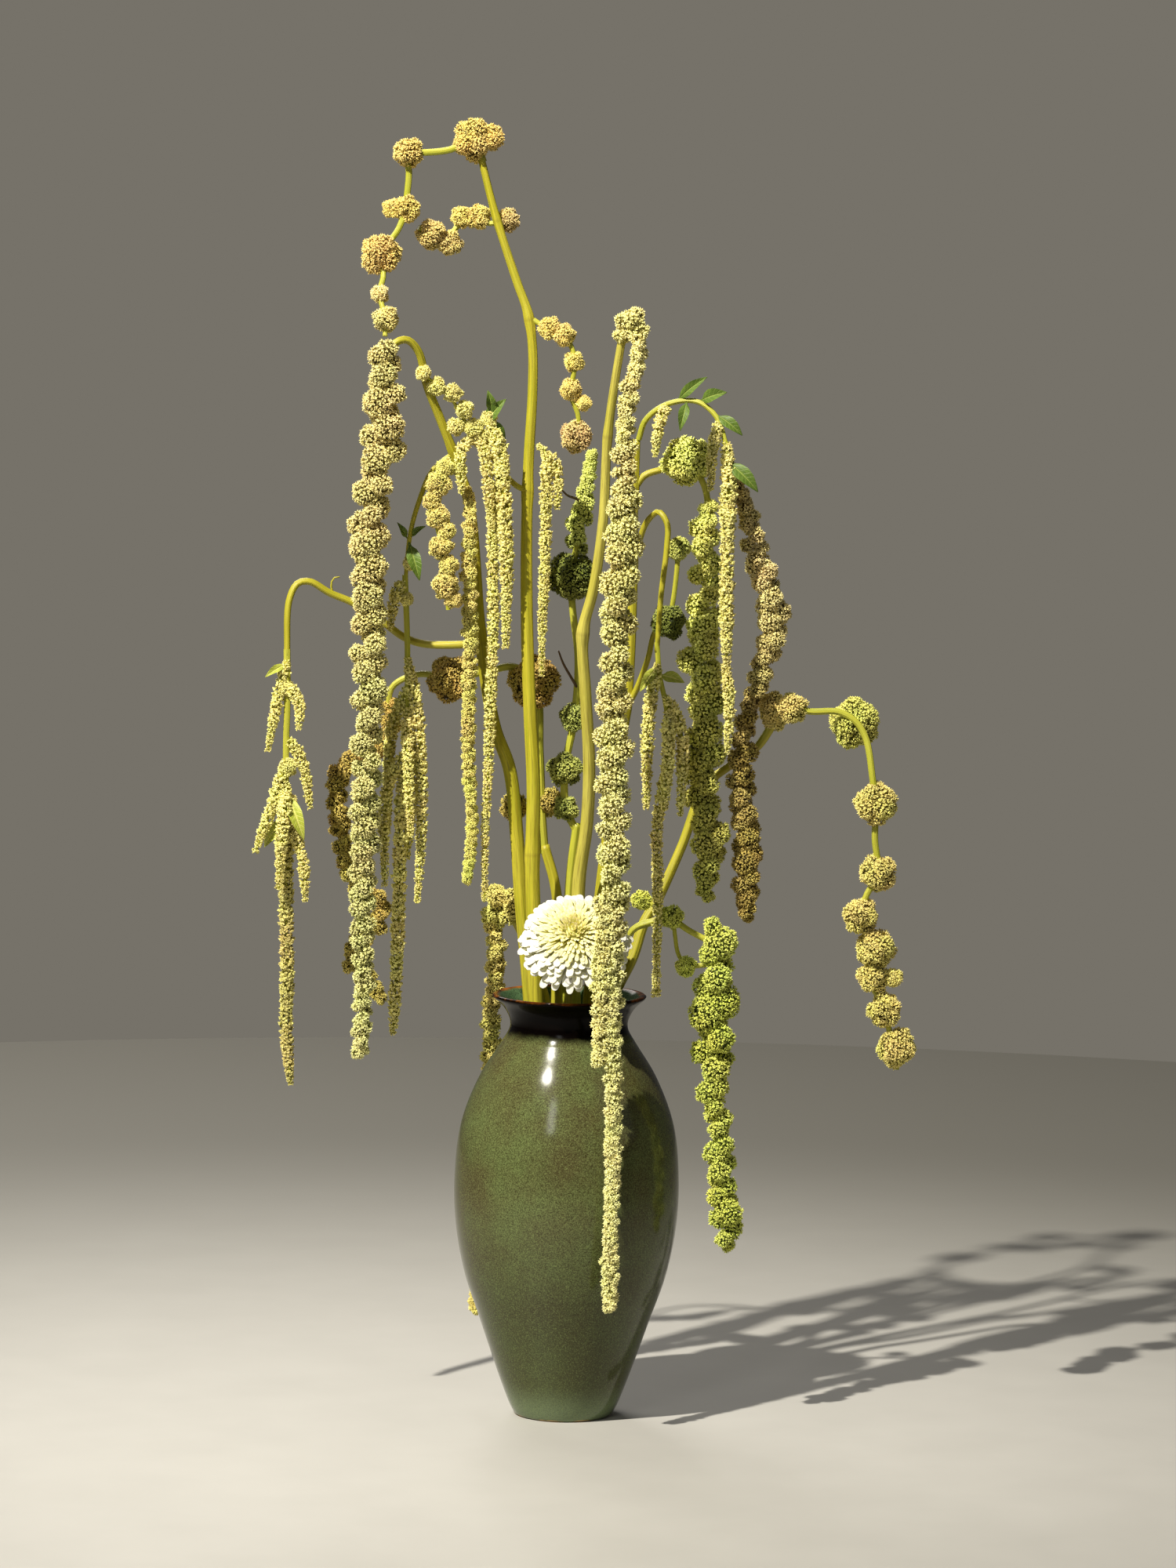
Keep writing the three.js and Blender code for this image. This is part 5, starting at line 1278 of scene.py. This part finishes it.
# name: (CAD node, runs); a run is ("stalk", points, first, last), ("spike", points, widths, late),
# ("catkin", points, widest), ("tufts", balls) or ("leaf", start, end, half-width)
SHOOTS = {
    "far_left_spray": ("spray_far_left", [
        ("stalk", [(-175, -25, 474), (-174.5, -25, 445), (-175, -25, 410), (-174, -25, 370)], 2.1, 1.6),
        ("spike", [(-174, -25, 376), (-174, -25, 329), (-173, -25, 276), (-173, -25, 237), (-170, -25, 207)],
         [(0, 3.4), (0.1, 4.6), (0.6, 4.8), (0.9, 4.2), (1, 2.4)], 0.85),
        ("catkin", [(-175, -25, 468), (-181, -27, 440), (-186, -28, 412)], 1.0),
        ("catkin", [(-175, -26, 453), (-167, -30, 441), (-167, -31, 426)], 1.0),
        ("catkin", [(-175, -25, 404), (-183, -28, 378), (-193, -30, 350)], 1.1),
        ("catkin", [(-174, -26, 392), (-176, -35, 368), (-178, -37, 329)], 1.1),
        ("catkin", [(-174, -25, 420), (-165, -24, 405), (-160, -23, 377)], 1.0),
        ("catkin", [(-174, -25, 366), (-165, -28, 350), (-162, -29, 320)], 1.0),
        ("catkin", [(-174, -24, 385), (-177, -15, 360), (-179, -12, 325)], 1.1),
        ("leaf", (-175, -25, 465), (-188, -30, 457), 2.6),
        ("leaf", (-174, -26, 386), (-163, -33, 358), 4.6),
        ("leaf", (-175, -25, 372), (-188, -20, 352), 4),
        ("tufts", [((-175, -25, 450), 5), ((-174, -25, 402), 6), ((-174, -25, 380), 6.5),
                   ((-172, -26, 362), 6)]),
    ]),
    "left_spray": ("spray_left", [
        ("stalk", [(-104, -17, 520), (-102, -17, 474), (-102, -17, 430), (-104, -17, 396)], 1.8, 1.5),
        ("spike", [(-104, -17, 400), (-105, -17, 348), (-106, -17, 290), (-108, -17, 238)],
         [(0, 3.2), (0.1, 4.8), (0.7, 4.6), (0.9, 4), (1, 2.4)]),
        ("catkin", [(-104, -17, 516), (-109, -19, 510), (-113, -20, 486)], 1.0),
        ("catkin", [(-102, -17, 470), (-95, -19, 430), (-92, -20, 372), (-94, -20, 319)], 1.1),
        ("catkin", [(-102, -17, 452), (-111, -14, 425), (-113, -11, 362)], 1.0),
        ("catkin", [(-102, -18, 440), (-101, -27, 415), (-98, -30, 360)], 1.0),
        ("catkin", [(-103, -16, 430), (-98, -6, 400), (-101, -4, 345)], 1.0),
        ("catkin", [(-103, -17, 412), (-113, -23, 390), (-114, -25, 330)], 1.0),
        ("leaf", (-102, -19, 540), (-95, -24, 517), 4.5),
        ("leaf", (-103, -17, 542), (-109, -22, 552), 2.2),
        ("leaf", (-102, -17, 543), (-92, -20, 550), 2.2),
        ("tufts", [((-101, -17, 527), 4.5), ((-103, -17, 505), 4)]),
    ]),
    "leafy_shoot": ("shoot_leaves", [
        ("spike", [(-62, -22, 602), (-64, -22, 606), (-58, -23, 613), (-52, -24, 620)], [(0, 2.6), (1, 3)]),
        ("catkin", [(-61, -22, 605), (-57, -26, 598), (-54, -27, 575), (-52, -27, 549)], 1.0),
        ("catkin", [(-55, -24, 616), (-48, -27, 600), (-44, -26, 560), (-42, -25, 520),
                    (-42, -24, 477)], 1.25),
        ("catkin", [(-64, -23, 604), (-70, -27, 598), (-70, -28, 570)], 1.0),
        ("leaf", (-57, -22, 612), (-44, -25, 628), 4.2),
        ("leaf", (-56, -23, 615), (-44, -20, 604), 3.8),
        ("leaf", (-52, -23, 620), (-55, -29, 633), 3.4),
        ("stalk", [(-62, -22, 604), (-70, -26, 616), (-78, -29, 629), (-92, -34, 641)], 1.1, 0.8),
        ("tufts", [((-94, -35, 643), 4.5), ((-86, -31, 635), 6), ((-76, -29, 631), 6), ((-69, -27, 621), 6),
                   ((-74, -26, 611), 5.5), ((-64, -24, 610), 6.5), ((-59, -22, 604), 6),
                   ((-54, -23, 616), 5)]),
    ]),
    "front_catkin": ("catkin_front", [
        ("catkin", [(-47, -17, 584), (-50, -15, 570), (-51, -15, 537), (-50, -15, 489), (-51, -16, 441),
                    (-52, -17, 393), (-53, -17, 364), (-53, -17, 320)], 1.0),
    ]),
    "tall_catkins": ("catkins_tall", [
        ("catkin", [(-25, -11, 600), (-20, -14, 596), (-19, -14, 566), (-19, -14, 527), (-20, -14, 489),
                    (-20, -14, 460)], 1.0),
        ("catkin", [(-20, -14, 595), (-13, -14, 588), (-12, -14, 562)], 1.0),
    ]),
    "right_spray": ("spray_right", [
        ("stalk", [(37, 3, 604), (41, 0, 616), (54, -4, 626), (72, -8, 628), (84, -12, 619),
                   (91, -17, 600)], 1.8, 1.4),
        ("spike", [(90, -16, 604), (92, -19, 586), (92, -21, 558), (92, -21, 510), (93, -21, 462)],
         [(0, 2.8), (0.06, 5), (0.3, 6), (0.5, 4.4), (0.7, 5.4), (0.9, 3.6), (1, 2)], 0.35),
        ("catkin", [(86, -13, 616), (82, -19, 600), (81, -20, 574)], 1.0),
        ("catkin", [(54, -4, 626), (49, -8, 612), (47, -9, 594)], 1.0),
        ("catkin", [(92, -20, 470), (95, -22, 440), (94, -22, 415)], 1.0),
        ("leaf", (60, -5, 628), (78, -9, 643), 3.5),
        ("leaf", (74, -8, 628), (90, -14, 634), 4.5),
        ("leaf", (84, -12, 620), (100, -16, 608), 4),
        ("leaf", (66, -7, 628), (62, -14, 610), 3.5),
        ("leaf", (91, -18, 592), (110, -22, 574), 5),
    ]),
    "inner_spray": ("spray_inner", [
        ("stalk", [(50, -30, 482), (52, -30, 462), (56, -30, 444), (58, -30, 424)], 1.6, 1.4),
        ("spike", [(58, -30, 428), (58, -30, 410), (55, -30, 392), (52, -30, 367), (53, -30, 330),
                   (53, -30, 266)],
         [(0, 3.4), (0.2, 4.4), (0.5, 3.8), (1, 3)]),
        ("catkin", [(51, -30, 470), (46, -31, 440), (45, -31, 381)], 1.1),
        ("catkin", [(55, -30, 450), (65, -30, 430), (66, -30, 376)], 1.1),
        ("catkin", [(57, -31, 440), (58, -40, 420), (56, -42, 380)], 1.1),
        ("leaf", (52, -30, 462), (67, -33, 458), 4),
        ("leaf", (51, -30, 468), (40, -34, 452), 3.5),
    ]),
}
print("shoots", len(SHOOTS))

# %% Make the shoots
FRONT_UP = (0, -1, 0.4)
TUFT = {"knob": 1.9, "floret": 1.6, "crowd": 14}
LEAF_SHAPE = {"arch": 0.12, "fold": 0.45, "wave": 0.8, "paint": 2}

for name, (cad_name, runs) in SHOOTS.items():
    parts = []
    for kind, first, *rest in runs:
        if kind == "stalk":
            parts.append(stalk(first, *rest, sides=10, ribs=0.04, paint=1))
        elif kind == "spike":
            late = rest[1] if rest[1:] else 0.3
            parts += catkin(first, widths=rest[0], late=late, tier=1.15, around=10)
        elif kind == "catkin":
            parts += catkin(first, widest=rest[0])
        elif kind == "tufts":
            florets, _ = floret_parts(ball_clumps(first, late=0.3), **TUFT)
            parts.append(florets)
        else:
            end, half = rest
            parts.append(blades(first, end, FRONT_UP, LEAF_WIDTHS, half, **LEAF_SHAPE))
    materials = [HEADS["catkin"], STEM_SOFT, LEAVES.get(name, LEAF_GREEN)]
    build(name, parts, materials, [cad_name], smooth=False)

# %% [markdown]
# ## The gerbera
# A double mini gerbera: broad white ray florets in layers round the outside, ever narrower and more
# upright cream ones inwards, and a tight middle of closed florets with rosy tips. Each ring of petals
# is one call of the blade function, worked out in the flower's own frame and then turned so that its
# face looks forwards and up, as the CAD solid does.

# %% Petal rings
BLOOM_CENTRE = np.array((3, -42, 301), float)
BLOOM_FACING = unit(np.array((0, -0.75, 0.66)))
BLOOM_SIDE = np.array((1.0, 0, 0))
BLOOM_FRAME = np.stack([BLOOM_SIDE, np.cross(BLOOM_FACING, BLOOM_SIDE), BLOOM_FACING])
PETAL_WIDTHS = [(0, 0.35), (0.3, 0.72), (0.55, 0.96), (0.8, 1.0), (0.93, 0.9), (0.975, 0.68), (1, 0.3)]


def on_bloom(points):
    """From the flower's own frame, +Z out of its face, to the arrangement's."""
    return BLOOM_CENTRE + points @ BLOOM_FRAME


def petal_ring(count, root, tip, low, high, half, turn=0.0, arch=0.06, curl=0.0, cup=0.05, rows=12, sides=12):
    """count petals at equal angles, each a little off in length, lift and turn."""
    angle = (np.arange(count) + turn + rng.uniform(-0.22, 0.22, count)) * 2 * math.pi / count
    out = np.stack([np.cos(angle), np.sin(angle)], axis=-1)
    twist = np.stack([-np.sin(angle), np.cos(angle)], axis=-1) * rng.uniform(-1.6, 1.6, (count, 1))
    reach = tip * rng.uniform(0.93, 1.03, (count, 1))
    start = np.column_stack([out * root, np.full(count, low)])
    end = np.column_stack([out * reach + twist, high + rng.uniform(-1.5, 1.5, count)])
    face = np.tile(BLOOM_FACING, (count, 1))
    return blades(on_bloom(start), on_bloom(end), face, PETAL_WIDTHS, half * rng.uniform(0.85, 1.1, count),
                  arch=arch + rng.uniform(-0.02, 0.02, count), fold=cup, thick=0.45, grooves=0.12, curl=curl,
                  rows=rows, sides=sides)


# %% Petal materials
def petal_material(name, root, body, tip, rosy):
    """Root to tip colours along the petal, fine lengthwise lines, and a soft inner glow."""
    made, tree, socket = material(name, Roughness=0.5, Specular_IOR_Level=0.25, Subsurface_Weight=0.6)
    socket["Subsurface Radius"].default_value = (0.004, 0.004, 0.002)
    socket["Subsurface Scale"].default_value = 0.6
    along = carried(tree, "along")
    marks = use(tree, streaks, {"Round": 4.0, "Along": 10.0, "Contrast": 0.2})
    base = mix(tree, rescale(tree, along, 0.05, 0.6, smooth=True), colour(root), colour(body))
    base = mix(tree, rescale(tree, along, 0.6, 1.0, smooth=True), base, colour(tip))
    base = mix(tree, rescale(tree, marks["Streak"], 0, 1, 0.22, 0.0), base, colour(root))
    base = mix(tree, rescale(tree, along, 0.85, 0.97, 0.0, rosy), base, colour("#8a4a34"))
    tree.links.new(base, socket["Base Color"])
    bump(tree, socket, marks["Streak"], 0.3, 0.0003)
    return made


PETAL_WHITE = petal_material("white_petal", "#cccb7c", "#e2dfba", "#f0eed8", 0.0)
PETAL_CREAM = petal_material("cream_petal", "#d8d05e", "#f2eb8e", "#f8f3b8", 0.0)
PETAL_HEART = petal_material("heart_floret", "#ccc256", "#ece288", "#efe3a0", 0.55)
print("petal materials", PETAL_WHITE.name, PETAL_CREAM.name, PETAL_HEART.name)

# %% Rays, inner petals and heart
# each ring: count, root and tip distance, low and high end, half-width
rays = [
    petal_ring(26, 9.0, 35.5, -3.4, -5.6, 2.9, curl=0.08, arch=0.1),
    petal_ring(28, 9.0, 34.8, -2.4, -3.4, 2.9, turn=0.5, curl=0.05, arch=0.1),
    petal_ring(28, 8.8, 33.8, -1.4, -1.0, 2.8, turn=0.25, curl=0.03, arch=0.1),
    petal_ring(28, 8.6, 32.0, -0.4, 1.4, 2.7, turn=0.7, arch=0.1),
    petal_ring(30, 8.4, 30.0, 0.6, 3.4, 2.5, turn=0.1, cup=0.08, arch=0.1),
    petal_ring(30, 8.2, 27.5, 1.8, 5.4, 2.3, turn=0.4, cup=0.1, arch=0.1),
]
HUB = [(2, -4.6), (8.5, -4.4), (10.4, -1), (10, 2), (7.4, 5), (7.2, 9), (5, 10.5), (1.5, 11)]
hub = lathe(HUB, step=1.5, sides=24)
hub_part = skin(on_bloom(hub)[None], along=np.zeros((1, *hub.shape[:2])))
build("gerbera_ray_petals", [*rays, hub_part], [PETAL_WHITE], ["gerbera_rays"])

inner = [
    petal_ring(34, 7.6, 25.5, 3.0, 7.2, 1.75, turn=0.3, cup=0.12, arch=0.12, rows=11, sides=8),
    petal_ring(36, 7.4, 23.4, 3.8, 8.6, 1.6, turn=0.6, cup=0.15, arch=0.12, rows=11, sides=8),
    petal_ring(36, 7.2, 21.2, 4.6, 9.8, 1.45, turn=0.1, cup=0.15, arch=0.12, rows=11, sides=8),
    petal_ring(36, 6.9, 18.8, 5.4, 10.8, 1.3, turn=0.5, cup=0.2, arch=0.12, rows=10, sides=8),
    petal_ring(34, 6.6, 16.4, 6.2, 11.8, 1.15, turn=0.8, cup=0.2, arch=0.12, rows=10, sides=8),
    petal_ring(32, 6.3, 14.0, 7.2, 12.6, 1.05, turn=0.2, cup=0.45, arch=0.12, rows=10, sides=8),
    petal_ring(30, 6.0, 11.6, 8.2, 13.2, 0.95, turn=0.6, cup=0.5, arch=0.1, rows=9, sides=8),
]
build("gerbera_inner_petals", inner, [PETAL_CREAM], ["gerbera_inner"])

heart = [
    petal_ring(22, 5.6, 9.2, 8.8, 13.6, 0.95, turn=0.4, cup=0.5, rows=8, sides=8),
    petal_ring(18, 4.4, 6.8, 9.4, 14.0, 0.85, turn=0.1, cup=0.5, rows=8, sides=8),
    petal_ring(14, 3.0, 4.6, 9.8, 14.0, 0.8, turn=0.3, cup=0.5, rows=8, sides=8),
    petal_ring(9, 1.4, 2.4, 10.0, 13.8, 0.75, turn=0.2, cup=0.5, rows=8, sides=8),
    petal_ring(4, 0.3, 0.8, 10.0, 13.6, 0.7, cup=0.5, rows=8, sides=8),
]
build("gerbera_heart", heart, [PETAL_HEART], ["gerbera_disc"])

# %% [markdown]
# From behind, the flower sits in a green cup of narrow bracts that overlap like scales.

# %% The green cup
CUP = [(1.5, -13.4), (3.4, -12.4), (6.0, -9.6), (8.2, -6.0), (8.4, -4.2), (2, -4.0)]
cup = lathe(CUP, step=1.2, sides=24)
bracts = [
    petal_ring(14, 3.6, 7.6, -12.6, -8.2, 1.5, arch=-0.08, cup=-0.1, rows=8, sides=8),
    petal_ring(16, 5.4, 9.4, -10.6, -6.2, 1.5, turn=0.5, arch=-0.08, cup=-0.1, rows=8, sides=8),
]
build("gerbera_cup", [skin(on_bloom(cup)[None]), *bracts], [STEM_SOFT], ["gerbera_involucre"])
